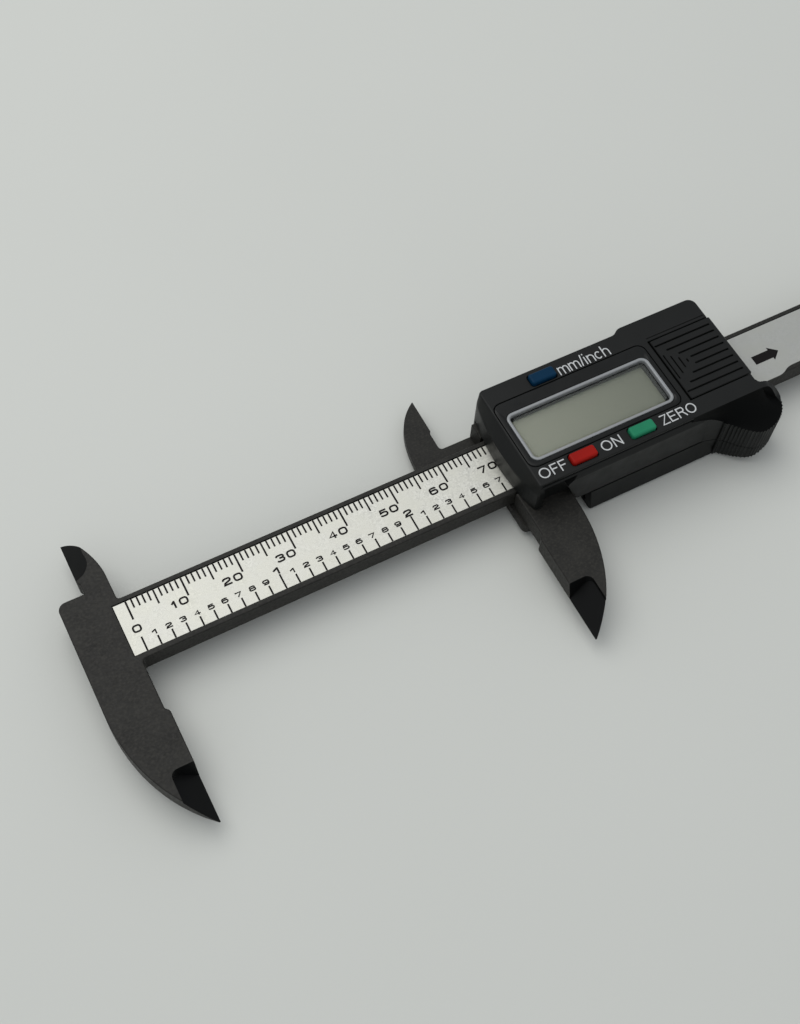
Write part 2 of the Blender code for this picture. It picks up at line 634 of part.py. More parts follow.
def make_battery(slider, cover_body):
    x, y = 42.3, 0.2
    foot = BOARD_Z[1] + 0.3
    top = foot + 5.4
    at = (OPENING + x, y)
    cell = [(5.1, foot), (5.6, foot + 0.5), (5.6, foot + 0.9), (5.8, foot + 1.0), (5.8, top - 0.3), (5.5, top)]
    piece("button_cell", turned(at, cell, 32), "steel", (*at, foot), slider, True)
    piece("battery_contact", slider_block(x - 3.0, x + 3.0, y - 1.2, y + 1.2, BOARD_Z[1] + 0.05, foot - 0.05),
          "spring_bronze", (*at, foot), slider)
    side = 5.8 + 0.15
    piece("battery_side_contact", slider_block(x - side - 0.35, x - side, y - 2.0, y + 2.0, BOARD_Z[1] + 0.05, 5.6),
          "spring_bronze", (OPENING + x - side, y, 3), slider)
    x0, x1, y0, y1 = COVER
    top_z = HOUSING_TOP
    under = top_z - COVER_THICK
    hook = [(x0, under), (x1 - 0.9, under), (x1 - 0.9, 2.0), (x1, 2.0), (x1, top_z), (x0, top_z)]
    profile = [(OPENING + x, z) for x, z in hook]
    cover = piece("battery_cover", side_prism(profile, y0, y1), "shell",
                  (OPENING + x0, (y0 + y1) / 2, top_z), cover_body, True)
    grooves = [slider_block(start, 48.1, y - 0.17, y + 0.17, top_z - 0.35, top_z + 1)
               for start, y in cover_grooves()]
    arrows = [slider_block(ax - 0.12, ax + 0.12, mid - reach, mid + reach, top_z - 0.3, top_z + 1)
              for ax, mid, reach in cover_arrows()]
    cut(cover, *grooves, *arrows)


def cover_grooves():
    """Start X and Y of each long finger groove; their left ends step in to a point."""
    pitch = 1.575
    middle = 0.38
    starts = []
    for index in range(-4, 4):
        row = index + 0.5
        starts.append((COVER[0] + 0.35 + (3.5 - abs(row)) * 1.6, middle + row * pitch))
    return starts


def cover_arrows():
    """Centre X, middle Y and half length of the short nested grooves at the left."""
    middle = 0.75
    first = COVER[0] + 0.72
    return [(first + 1.16 * step, middle, reach) for step, reach in enumerate((2.85, 2.1, 1.2, 0.35))]


def make_button(name, slider):
    x_range, y_range, colour = BUTTONS[name]
    x, y = OPENING + sum(x_range) / 2, sum(y_range) / 2
    body = group(name + "_body", (x, y, HOUSING_TOP), slider)
    foot = PAD_TOP + BUTTON_TRAVEL + 0.1
    top = HOUSING_TOP + BUTTON_PROUD
    plan = (*x_range, *y_range)
    sections = []
    for inset, z in ((0.0, foot), (0.0, top - 0.35), (0.12, top - 0.12), (0.4, top)):
        outline = at_slider(round_rectangle(*grown(plan, -inset), 0.5 - inset * 0.5, 3))
        sections.append([(px, py, z) for px, py in outline])
    piece(name, loft(sections), colour, (x, y, HOUSING_TOP), body, True)


def main():
    clear_scene()
    beam_body = group("beam_body", (0, 0, 0))
    slider = group("slider_body", (OPENING, 0, 0))
    cover_body = group("battery_cover_body", (OPENING + COVER[0], 0, HOUSING_TOP), slider)
    make_beam(beam_body)
    make_slider_frame(slider)
    make_depth_rod(slider)
    make_front_housing(slider)
    make_rear_housing(slider)
    make_display(slider)
    make_board(slider)
    make_battery(slider, cover_body)
    for name in BUTTONS:
        make_button(name, slider)


main()
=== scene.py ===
"""Looks for a digital caliper: fine surfaces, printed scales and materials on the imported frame.

Sizes are millimetres in the caliper's own frame: X along the beam from the fixed outside jaw's
measuring face, Y from the beam's centre line towards the inside jaws, Z up from the beam's front
face. at() moves them to the model's frame, in metres. Sizes called u are X distances from the
moving jaw's measuring face.
"""

import math

import bmesh
import bpy
from mathutils import Matrix, Vector


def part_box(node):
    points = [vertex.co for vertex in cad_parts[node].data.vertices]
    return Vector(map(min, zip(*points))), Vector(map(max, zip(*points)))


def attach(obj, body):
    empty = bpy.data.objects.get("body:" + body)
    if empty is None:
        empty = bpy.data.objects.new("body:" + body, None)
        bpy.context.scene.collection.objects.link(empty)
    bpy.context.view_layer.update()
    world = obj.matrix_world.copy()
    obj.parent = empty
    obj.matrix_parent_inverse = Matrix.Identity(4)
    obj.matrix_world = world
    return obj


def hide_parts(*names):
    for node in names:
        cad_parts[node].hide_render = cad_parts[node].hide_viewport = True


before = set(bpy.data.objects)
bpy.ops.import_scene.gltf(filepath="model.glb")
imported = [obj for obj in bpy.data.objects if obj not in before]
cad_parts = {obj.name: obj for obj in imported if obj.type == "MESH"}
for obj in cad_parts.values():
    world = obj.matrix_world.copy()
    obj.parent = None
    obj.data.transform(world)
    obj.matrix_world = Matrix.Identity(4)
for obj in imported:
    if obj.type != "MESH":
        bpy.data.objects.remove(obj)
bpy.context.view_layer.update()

MM = 0.001
JAW_WIDTH = 9.85

beam_low, beam_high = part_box("main_beam")
label_low, label_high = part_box("scale_label")
ORIGIN = Vector((beam_low.x + JAW_WIDTH * MM, (label_low.y + label_high.y) / 2, beam_high.z))


def at(point):
    """A caliper-frame point in millimetres as a model point in metres."""
    return ORIGIN + Vector(point) * MM


def box(node):
    """A CAD node's lowest and highest corners in the caliper frame, in millimetres."""
    low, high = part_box(node)
    return (low - ORIGIN) / MM, (high - ORIGIN) / MM


# Sizes read from the frame: each pair is a node's lowest and highest corner
BEAM, FRAME = box("main_beam"), box("slider_frame")
SHELL, REAR = box("front_housing"), box("rear_housing")
COVER, SURROUND, TRIM = box("battery_cover"), box("display_surround"), box("display_trim")
LABEL, TAIL = box("scale_label"), box("tail_label")
BEAM_END = BEAM[1].x
BEAM_BACK = BEAM[0].z
OUTSIDE_TIP = BEAM[0].y
INSIDE_TIP = BEAM[1].y
OPENING = FRAME[0].x + 11.4  # X of the moving outside jaw's measuring face
TOP = SHELL[1].z  # face of the housing
SEAM = SHELL[0].z  # lower edge of the front shell
REST = REAR[0].z  # underside of the rear shell
FRAME_BACK = BEAM_BACK - 0.3  # the frame's plate slides this far behind the beam
FRAME_REAR = FRAME[0].z
COVER_UNDER = TOP - 0.7  # underside of the battery cover's plate

# Sizes of the beam and its jaws
HALF_BEAM = 6.05
INSIDE_FACE = -5.2  # X of the fixed inside jaw's measuring face
FACET_Y = -25.9  # where an outside jaw starts to thin
FACET_REACH = 4.2  # width of the thinned strip
FACET_STEP = 0.9  # its depth at the back
RELIEF = 0.7  # how far an outside jaw's root stands back
RELIEF_Y = -16.0

# Sizes of the housing and its printing
LOW, HIGH, HIGH_STEP = -10.95, 11.65, 12.6  # Y of its two sides, and of the wider part of one
END = 48.95  # u of its end
WALL = 0.9
PLATE = 1.5  # thickness of the top plate
RECESS_BACK = -9.6
LEDGE = 1.0  # width of the battery cover's seat
GRIP_LIP = 3.0  # height of the thumb grip's outer rim
RIB_PITCH = 0.6
RIB_DEPTH = 0.18
SCALE_ZERO = 0.75  # X of both scales' zero marks
SCALE_EDGE = 4.95  # how far the marks reach from the centre line
TICK, LONG_TICK = 0.31, 0.34  # line widths
NUMERAL, SMALL_NUMERAL = 0.34, 0.25
WORD, SMALL_WORD = 0.24, 0.23
WORD_BASE, WORD_HEIGHT = -9.4, 2.1

# Light and camera
LAMP_FROM, LAMP_DISTANCE, LAMP_SIZE, LAMP_POWER = (-0.2, 0.5, 1.0), 0.72, 0.75, 2.5
LAMP_COLOUR, SKY_COLOUR, SKY_STRENGTH = (1.0, 0.995, 0.97), (0.93, 0.96, 1.0, 1.0), 0.62
CAMERA_TARGET, CAMERA_DISTANCE = (50.25, -0.4, 0.0), 236.7
CAMERA_ELEVATION, CAMERA_AZIMUTH, CAMERA_ROLL = 60.6, -31.0, 3.9
LENS, SENSOR = 47.25, 36.0


# Outlines: lists of (x, y), counter-clockwise

def arc(centre, radius, start_deg, end_deg, steps):
    points = []
    for step in range(steps + 1):
        angle = math.radians(start_deg + (end_deg - start_deg) * step / steps)
        points.append((centre[0] + radius * math.cos(angle), centre[1] + radius * math.sin(angle)))
    return points


def bezier(start, pull_a, pull_b, end, steps):
    """Points along a cubic curve with its two control points."""
    points = []
    for step in range(steps + 1):
        t = step / steps
        weights = ((1 - t) ** 3, 3 * t * (1 - t) ** 2, 3 * t * t * (1 - t), t ** 3)
        corners = (start, pull_a, pull_b, end)
        points.append(tuple(sum(w * c[axis] for w, c in zip(weights, corners)) for axis in (0, 1)))
    return points


def rectangle(x0, x1, y0, y1):
    return [(x0, y0), (x1, y0), (x1, y1), (x0, y1)]


def round_rectangle(x0, x1, y0, y1, radius, steps=6):
    return (arc((x1 - radius, y0 + radius), radius, -90, 0, steps)
            + arc((x1 - radius, y1 - radius), radius, 0, 90, steps)
            + arc((x0 + radius, y1 - radius), radius, 90, 180, steps)
            + arc((x0 + radius, y0 + radius), radius, 180, 270, steps))


def mirrored(outline):
    """The outline reflected about X = 0, still counter-clockwise."""
    return [(-x, y) for x, y in reversed(outline)]


def on_slider(outline):
    """An outline in u moved to the slider's place."""
    return [(OPENING + x, y) for x, y in outline]


def inset(outline, distance):
    """The outline moved inwards along its mitred corners; less where it would fold over."""
    count = len(outline)
    points = [Vector(point) for point in outline]
    shifts = []
    for index, here in enumerate(points):
        a = (here - points[index - 1]).normalized()
        b = (points[(index + 1) % count] - here).normalized()
        mitre = Vector((-a.y - b.y, a.x + b.x))
        shifts.append(mitre * (2 * distance / max(mitre.length_squared, 0.6)))
    for _ in range(12):
        folded = set()
        for index in range(count):
            after = (index + 1) % count
            edge = points[after] - points[index]
            if (edge + shifts[after] - shifts[index]).dot(edge) < 0.15 * edge.length_squared:
                folded.update((index, after))
        for index in folded:
            shifts[index] *= 0.6
    return [tuple(point + shift) for point, shift in zip(points, shifts)]


# Solids

def loft(sections, rim=False):
    """A closed mesh through loops of (x, y, z), capped, or as a rim that joins up with itself."""
    shape = bmesh.new()
    rings = [[shape.verts.new(at(p)) for p in section] for section in sections]
    count = len(rings[0])
    if not rim:
        shape.faces.new(list(reversed(rings[0])))
        shape.faces.new(rings[-1])
    for low, high in zip(rings, rings[1:] + (rings[:1] if rim else [])):
        for i in range(count):
            j = (i + 1) % count
            shape.faces.new((low[i], low[j], high[j], high[i]))
    bmesh.ops.recalc_face_normals(shape, faces=shape.faces[:])
    return shape


def flat(outline, z):
    return [(x, y, z) for x, y in outline]


def prism(outline, z0, z1):
    return loft([flat(outline, z0), flat(outline, z1)])


def soft_prism(outline, z0, z1, top=0.25, foot=0.2, steps=3):
    """A prism whose top and bottom edges are rounded."""
    sections = []
    for step in range(steps + 1):
        turn = math.radians(90 * step / steps)
        sections.append(flat(inset(outline, foot * (1 - math.sin(turn))), z0 + foot * (1 - math.cos(turn))))
    for step in range(steps + 1):
        turn = math.radians(90 * step / steps)
        sections.append(flat(inset(outline, top * (1 - math.cos(turn))), z1 - top * (1 - math.sin(turn))))
    return loft(sections)


def flared(outline, z0, z1, flare=0.12):
    """A cutter for a pocket whose rim has a small chamfer at z1."""
    wide = inset(outline, -flare)
    return loft([flat(outline, z0), flat(outline, z1 - flare), flat(wide, z1), flat(wide, z1 + 2)])


def side_prism(profile, y0, y1):
    """An (x, z) profile drawn out along Y."""
    return loft([[(x, y, z) for x, z in profile] for y in (y0, y1)])


def block(x0, x1, y0, y1, z0, z1):
    return prism(rectangle(x0, x1, y0, y1), z0, z1)


def slider_block(x0, x1, y0, y1, z0, z1):
    return block(OPENING + x0, OPENING + x1, y0, y1, z0, z1)


def turned(centre, profile, steps=32):
    """Turned about an upright axis; the profile is (radius, z)."""
    sections = []
    for radius, z in profile:
        sections.append(flat(arc(centre, radius, 0, 360 - 360 / steps, steps - 1), z))
    return loft(sections)


def make(name, shape, surfaces=()):
    """An object from a built mesh."""
    mesh = bpy.data.meshes.new(name)
    for surface in surfaces:
        mesh.materials.append(surface)
    shape.to_mesh(mesh)
    shape.free()
    made = bpy.data.objects.new(name, mesh)
    bpy.context.scene.collection.objects.link(made)
    return made


def bake(target):
    """Applies the object's modifiers to its mesh."""
    graph = bpy.context.evaluated_depsgraph_get()
    mesh = bpy.data.meshes.new_from_object(target.evaluated_get(graph))
    target.modifiers.clear()
    target.data = mesh


def combine(target, shapes, operation, tangled=False):
    """Booleans shapes into the target; tangled is for a cutter that crosses itself."""
    tools = []
    for shape in shapes:
        tool = make("tool", shape, target.data.materials)
        tool.hide_render = True
        step = target.modifiers.new("combine", "BOOLEAN")
        step.operation = operation
        step.solver = "EXACT"
        step.use_self = tangled
        step.object = tool
        tools.append(tool)
    bake(target)
    for tool in tools:
        bpy.data.objects.remove(tool, do_unlink=True)


def dark(shape):
    """Marks a cutter so that the faces it leaves take the target's second material."""
    for face in shape.faces:
        face.material_index = 1
    return shape


def carve(target, *shapes):
    combine(target, shapes, "DIFFERENCE")


def join(target, *shapes):
    combine(target, shapes, "UNION")


def finish_piece(piece, body, replaces=(), crease=32.0):
    """Smooth shading with creases, and the body that carries the piece."""
    piece.data.shade_smooth()
    piece.data.set_sharp_from_angle(angle=math.radians(crease))
    weighted = piece.modifiers.new("even_shading", "WEIGHTED_NORMAL")
    weighted.keep_sharp = True
    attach(piece, body)
    for node in replaces:
        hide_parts(node)


# Materials

class Surface:
    """A Principled material built up from small steps."""

    def __init__(self, name, colour, roughness, metallic=0.0, specular=0.5):
        self.material = bpy.data.materials.new(name)
        self.material.use_nodes = True
        self.tree = self.material.node_tree
        self.shader = self.tree.nodes["Principled BSDF"]
        self.shader.inputs["Base Color"].default_value = (*colour, 1.0)
        self.shader.inputs["Roughness"].default_value = roughness
        self.shader.inputs["Metallic"].default_value = metallic
        self.shader.inputs["Specular IOR Level"].default_value = specular
        self.place = self.node("ShaderNodeTexCoord").outputs["Object"]
        self.normal = None

    def node(self, kind, **inputs):
        made = self.tree.nodes.new(kind)
        for key, value in inputs.items():
            self.feed(made.inputs[key.replace("_", " ")], value)
        return made

    def feed(self, socket, value):
        if isinstance(value, bpy.types.NodeSocket):
            self.tree.links.new(value, socket)
        else:
            socket.default_value = value

    def noise(self, size_mm, detail=3.0, stretch=(1, 1, 1)):
        """Noise whose grain has about the given size."""
        mapping = self.node("ShaderNodeMapping", Vector=self.place)
        mapping.inputs["Scale"].default_value = stretch
        grain = self.node("ShaderNodeTexNoise", Vector=mapping.outputs["Vector"],
                          Scale=1.0 / (size_mm * MM), Detail=detail)
        return grain.outputs["Fac"]

    def cells(self, size_mm):
        made = self.node("ShaderNodeTexVoronoi", Vector=self.place, Scale=1.0 / (size_mm * MM))
        return made.outputs["Color"]

    def spread(self, value, low, high, start=0.3, end=0.7):
        made = self.node("ShaderNodeMapRange", Value=value)
        for key, number in (("From Min", start), ("From Max", end), ("To Min", low), ("To Max", high)):
            made.inputs[key].default_value = number
        return made.outputs["Result"]

    def mix(self, fraction, a, b):
        made = self.node("ShaderNodeMix")
        made.data_type = "RGBA"
        self.feed(made.inputs["Factor"], fraction)
        for key, value in (("A", a), ("B", b)):
            socket = [s for s in made.inputs if s.name == key and s.type == "RGBA"][0]
            self.feed(socket, (*value, 1.0) if isinstance(value, tuple) else value)
        return [s for s in made.outputs if s.type == "RGBA"][0]

    def colour(self, value):
        self.feed(self.shader.inputs["Base Color"], value)
        return self

    def rough(self, value):
        self.feed(self.shader.inputs["Roughness"], value)
        return self

    def bump(self, value, depth_mm, strength=1.0):
        made = self.node("ShaderNodeBump", Height=value, Distance=depth_mm * MM, Strength=strength)
        if self.normal:
            self.tree.links.new(self.normal, made.inputs["Normal"])
        self.normal = made.outputs["Normal"]
        self.feed(self.shader.inputs["Normal"], self.normal)
        return self


def tint(colour, factor):
    return tuple(channel * factor for channel in colour)


def composite_surface(name, base, speck):
    """Moulded fibre composite: dark resin with paler fibre specks and a fine grain."""
    made = Surface(name, base, 0.5, specular=0.18)
    broad = made.spread(made.noise(4.0, 4.0), 0.0, 1.0)
    body = made.mix(broad, tint(base, 0.8), tint(base, 1.25))
    specks = made.spread(made.noise(0.45, 6.0, (1.0, 1.3, 1.0)), 0.0, 1.0, 0.45, 0.75)
    made.colour(made.mix(specks, body, speck))
    made.rough(made.spread(made.noise(0.5, 4.0), 0.42, 0.6))
    made.bump(made.noise(0.28, 5.0), 0.012)
    return made.bump(made.noise(1.6, 2.0), 0.02, 0.5).material


def moulded_surface(name, base, roughness, grain=0.35, depth=0.008, specular=0.5):
    """Injection-moulded plastic with a light spark-eroded texture."""
    made = Surface(name, base, roughness, specular=specular)
    cloud = made.spread(made.noise(7.0, 3.0), 0.0, 1.0)
    made.colour(made.mix(cloud, tint(base, 0.88), tint(base, 1.12)))
    made.rough(made.spread(made.noise(2.5, 4.0), roughness - 0.05, roughness + 0.06))
    return made.bump(made.noise(grain, 4.0), depth).material


def label_surface(name, base, sparkle):
    """Silver film: tiny flakes of differing brightness under a clear coat."""
    made = Surface(name, base, 0.42, metallic=0.35, specular=0.4)
    flakes = made.node("ShaderNodeSeparateColor", Color=made.cells(0.27)).outputs["Red"]
    grains = made.spread(flakes, 0.0, 1.0, 0.0, 1.0)
    cloud = made.spread(made.noise(3.0, 3.0), 0.0, 1.0)
    tone = made.mix(grains, tint(base, 1.0 - sparkle), tint(base, 1.0 + sparkle))
    made.colour(made.mix(cloud, tone, tuple(c * f for c, f in zip(base, (1.0, 1.0, 0.97)))))
    made.rough(made.spread(flakes, 0.34, 0.52, 0.0, 1.0))
    return made.bump(flakes, 0.004, 0.6).material


def metal_surface(name, base, roughness):
    """Plated or rolled metal with fine drawing lines and slight staining."""
    made = Surface(name, base, roughness, metallic=1.0)
    lines = made.noise(0.25, 4.0, (0.15, 1.0, 1.0))
    made.rough(made.spread(lines, roughness - 0.08, roughness + 0.1))
    made.colour(made.mix(made.spread(made.noise(2.0), 0.0, 1.0), tint(base, 0.85), tint(base, 1.05)))
    return made.bump(lines, 0.003).material


def ink_surface(name, base):
    """Printed ink: slightly uneven cover over the surface's grain."""
    made = Surface(name, base, 0.5, specular=0.1)
    uneven = made.spread(made.noise(0.22, 4.0), 0.0, 1.0)
    made.colour(made.mix(uneven, base, tint(base, 1.25)))
    return made.bump(made.noise(0.2, 3.0), 0.004).material


def display_surface():
    """Reflective liquid crystal panel: grey-green, darker towards its +X end as painted shade."""
    made = Surface("lcd_panel", (0.20, 0.21, 0.165), 0.35, specular=0.3)
    spot = made.node("ShaderNodeSeparateXYZ", Vector=made.place)
    low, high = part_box("display_panel")
    # Painted shade: the colour halves from the panel's -X end to its +X end.
    along = made.spread(spot.outputs["X"], 0.0, 1.0, low.x, high.x)
    tone = made.mix(along, (0.25, 0.26, 0.195), (0.125, 0.135, 0.095))
    film = made.spread(made.noise(0.6, 2.0), 0.0, 0.25)
    made.colour(made.mix(film, tone, (0.18, 0.19, 0.14)))
    return made.bump(made.noise(0.15, 2.0), 0.001).material


def lens_surface():
    """Clear acrylic window with faint handling haze."""
    made = Surface("clear_lens", (0.5, 0.53, 0.5), 0.08, specular=0.5)
    made.rough(made.spread(made.noise(4.0, 5.0), 0.04, 0.16))
    made.shader.inputs["Alpha"].default_value = 0.06
    return made.material


COMPOSITE = composite_surface("fibre_composite", (0.0165, 0.016, 0.0142), (0.031, 0.0295, 0.025))
# Near-black second material: the jaw facets' own finish, and painted shade on the walls of the beam's label
# recess.
FACET_BLACK_AND_RECESS_SHADE = moulded_surface("lapped_facet_and_recess_shade", (0.0035, 0.0038, 0.0038), 0.42, 0.5, 0.003, 0.1)
SHELL_BLACK = moulded_surface("shell_plastic", (0.0056, 0.0062, 0.0058), 0.42, specular=0.2)
# The grip's dished top: a smoother grain, with colour and reflection turned down below the shell plastic as
# painted shade of the hollow.
SCOOP_SHADE_BLACK = moulded_surface("smooth_scoop_painted_shade", (0.0025, 0.0028, 0.0027), 0.5, 0.8, 0.002, 0.04)
SURROUND_BLACK = moulded_surface("surround_plastic", (0.0056, 0.0062, 0.006), 0.3, 0.8, 0.004, 0.2)
LABEL_SILVER = label_surface("scale_film", (0.60, 0.595, 0.545), 0.2)
TAIL_WHITE = label_surface("tail_film", (0.4, 0.405, 0.385), 0.05)
TRIM_SILVER = label_surface("trim_paint", (0.27, 0.28, 0.29), 0.05)
STEEL = metal_surface("plated_steel", (0.56, 0.56, 0.57), 0.3)
BRONZE = metal_surface("spring_bronze", (0.62, 0.42, 0.2), 0.35)
COPPER = metal_surface("scale_copper", (0.72, 0.4, 0.22), 0.35)
BLUE = moulded_surface("button_blue", (0.002, 0.026, 0.062), 0.38, 0.6, 0.004, 0.07)
RED = moulded_surface("button_red", (0.27, 0.009, 0.006), 0.38, 0.6, 0.004, 0.07)
GREEN = moulded_surface("button_green", (0.02, 0.195, 0.1), 0.38, 0.6, 0.004, 0.07)
SCALE_INK = ink_surface("scale_ink", (0.006, 0.005, 0.005))
LETTER_INK = ink_surface("letter_ink", (0.46, 0.47, 0.47))
BOARD_GREEN = moulded_surface("solder_mask", (0.015, 0.14, 0.06), 0.35, 1.2, 0.01)
CHIP_BLACK = moulded_surface("chip_epoxy", (0.012, 0.012, 0.013), 0.55, 0.2, 0.01)
SILICONE = moulded_surface("silicone_rubber", (0.32, 0.33, 0.33), 0.7, 0.5, 0.01)


# The beam with its fixed jaws

def outside_jaw_back(steps=40):
    return bezier((-JAW_WIDTH, -12.5), (-JAW_WIDTH, -21.0), (-6.9, -29.6), (-0.25, OUTSIDE_TIP), steps)


def facet_cutter():
    """Wedge that thins an outside jaw to a knife edge; its end wall leans back."""
    radius = 1.3
    back = -FACET_REACH
    beyond = OUTSIDE_TIP - 4.0
    plan = [(3.0, beyond), (3.0, FACET_Y)]
    plan += arc((back + radius, FACET_Y - radius), radius, 90, 180, 10) + [(back, beyond)]
    edge_z = 0.1 + BEAM_BACK
    rise = (-FACET_STEP - edge_z) / FACET_REACH
    lean = 0.3
    low = [(x, y, edge_z - rise * x) for x, y in plan]
    high = [(x, y, 2.0) for x, y in plan]
    return [[(x, y + lean * z, z) for x, y, z in section] for section in (low, high)]


def inside_facet_cutter():
    """Wedge that thins the fixed inside jaw along its measuring face."""
    reach = INSIDE_FACE + 3.1
    plan = [(INSIDE_FACE - 1.5, 12.3), (INSIDE_FACE + 0.3, 12.3)]
    plan += bezier((reach - 1.6, 12.8), (reach - 0.4, 13.8), (reach + 0.2, 14.8), (reach - 0.2, 16.6), 12)
    plan += [(reach - 0.2, 17.5), (reach + 0.1, 19.0)]
    plan += [(reach + 0.1, INSIDE_TIP + 2), (INSIDE_FACE - 1.5, INSIDE_TIP + 2)]
    edge_z = BEAM_BACK + 0.25
    rise = -edge_z / 3.1
    return [[(x, y, edge_z + rise * (x - INSIDE_FACE)) for x, y in plan], flat(plan, 2.0)]


def flipped(sections):
    """Loft sections of a fixed jaw turned into those of the moving jaw."""
    return [[(OPENING - x, y, z) for x, y, z in section] for section in sections]


def beam_outline():
    shoulder = 9.4
    points = outside_jaw_back()
    points += [(0.0, OUTSIDE_TIP), (0.0, RELIEF_Y - 0.5), (-0.15, RELIEF_Y - 0.1)]
    points += [(-RELIEF + 0.1, RELIEF_Y + 0.35), (-RELIEF, RELIEF_Y + 0.6)]
    points += [(-RELIEF, -HALF_BEAM - 0.7), (-RELIEF + 0.15, -HALF_BEAM - 0.25), (-RELIEF + 0.6, -HALF_BEAM)]
    points += round_rectangle(0, BEAM_END, -HALF_BEAM, HALF_BEAM, 1.0)[:14]
    points += [(0.25, HALF_BEAM), (-0.1, HALF_BEAM + 0.15), (-0.25, HALF_BEAM + 0.5)]
    points += bezier((-0.3, 11.5), (-0.4, 14.2), (-1.9, 19.2), (INSIDE_FACE, INSIDE_TIP), 24)
    points += [(INSIDE_FACE, 11.9), (INSIDE_FACE + 0.1, 11.6), (INSIDE_FACE + 0.35, 11.35)]
    points += [(INSIDE_FACE + 0.35, shoulder)]
    points += arc((-JAW_WIDTH + 1.5, shoulder - 1.5), 1.5, 90, 180, 10)
    return points


def make_beam():
    beam = make("beam_body", soft_prism(beam_outline(), BEAM_BACK, 0.0, 0.25, 0.2), (COMPOSITE, FACET_BLACK_AND_RECESS_SHADE))
    start, end, half = -1.6, LABEL[1].x + 38.7, 5.05
    # The label's recess, widened on its upper side, takes the near-black second material as painted shade on
    # its walls; the facet cutters give the jaw facets the same finish.
    carve(beam,
          dark(flared(rectangle(start, end, -half, half + 0.08), -0.75, 0.0, 0.06)),
          block(2.0, BEAM_END + 1.0, -1.3, 1.3, BEAM_BACK - 1.0, BEAM_BACK + 1.6),
          dark(loft(facet_cutter())),
          dark(loft(inside_facet_cutter())))
    finish_piece(beam, "beam", ["main_beam"])


# The slider's frame with the moving jaws

def frame_plate_outline():
    """Back plate with the moving inside jaw, in u."""
    face = INSIDE_FACE
    high, low = 10.1, -9.2
    points = [(0.1, -10.2)] + arc((1.3, -10.3), 1.2, 190, 270, 8) + [(6.0, -11.5), (6.4, low)]
    points += [(47.3, low), (47.3, high), (face + 0.5, high)]
    points += [(face + 0.05, high + 0.05), (face - 0.25, high + 0.3), (face - 0.35, high + 0.7)]
    points += [(face - 0.35, 13.9), (face - 0.25, 14.25), (face, 14.5), (face, INSIDE_TIP)]
    tip = (face - 0.15, INSIDE_TIP)
    points += bezier(tip, (face - 4.4, 18.9), (face - 5.75, 14.6), (face - 6.2, 8.6), 24)
    points += [(face - 6.2, 6.6), (face - 4.7, 5.0), (-1.6, 5.0), (0.0, 3.4)]
    return points


def moving_jaw_outline():
    """Moving outside jaw with its root under the housing, in u."""
    low = -6.35
    points = [(0.0, OUTSIDE_TIP)] + mirrored(outside_jaw_back())
    points += [(JAW_WIDTH, -9.2), (JAW_WIDTH + 0.6, low), (RELIEF, low), (RELIEF, RELIEF_Y + 0.6)]
    points += [(RELIEF - 0.1, RELIEF_Y + 0.35), (0.15, RELIEF_Y - 0.1), (0.0, RELIEF_Y - 0.5)]
    return points


def make_frame():
    plate = soft_prism(on_slider(frame_plate_outline()), FRAME_REAR, FRAME_BACK, 0.15, 0.3)
    body = make("frame_body", plate, (COMPOSITE, FACET_BLACK_AND_RECESS_SHADE))
    deep = FRAME_BACK - 0.4
    rail = rectangle(0.75, 46.9, 6.75, 10.07)
    low_rail = rectangle(JAW_WIDTH - 1.0, 46.9, -9.17, -6.35)
    join(body,
         soft_prism(on_slider(moving_jaw_outline()), deep, 0.0, 0.3, 0.05),
         soft_prism(on_slider(rail), deep, 0.0, 0.25, 0.05),
         soft_prism(on_slider(low_rail), deep, 0.0, 0.15, 0.05))
    under = rectangle(OPENING - 0.5, OPENING + JAW_WIDTH + 1, OUTSIDE_TIP - 1, -11.5)
    edge = OPENING + INSIDE_FACE
    bevel = [(edge - 3.4, FRAME_REAR - 1), (edge + 1.0, FRAME_REAR - 1), (edge + 1.0, FRAME_BACK - 0.3),
             (edge - 0.1, FRAME_BACK - 0.3), (edge - 3.0, FRAME_REAR)]
    carve(body,
          prism(under, FRAME_REAR - 1, BEAM_BACK),
          dark(loft(flipped(facet_cutter()))),
          side_prism(bevel, 14.9, INSIDE_TIP + 1.0))
    finish_piece(body, "slider", ["slider_frame"])


# The front shell

BUTTONS = {
    "mode_button": ("mode_blue", BLUE),
    "power_button": ("power_red", RED),
    "zero_button": ("zero_green", GREEN),
}


def steps_between(table, value):
    """Straight interpolation in a short list of (place, value)."""
    for (x0, y0), (x1, y1) in zip(table, table[1:]):
        if value <= x1:
            return y0 + (y1 - y0) * max(0.0, value - x0) / (x1 - x0)
    return table[-1][1]


def grip_side(z):
    """Y of the side wall towards the outside jaws: wall, sloped ledge, shadow groove, top plate."""
    wall = [(SEAM, LOW), (5.2, LOW + 0.08), (6.2, -10.35), (6.3, -10.35), (6.8, -10.35), (7.5, -10.5)]
    return steps_between(wall, z)


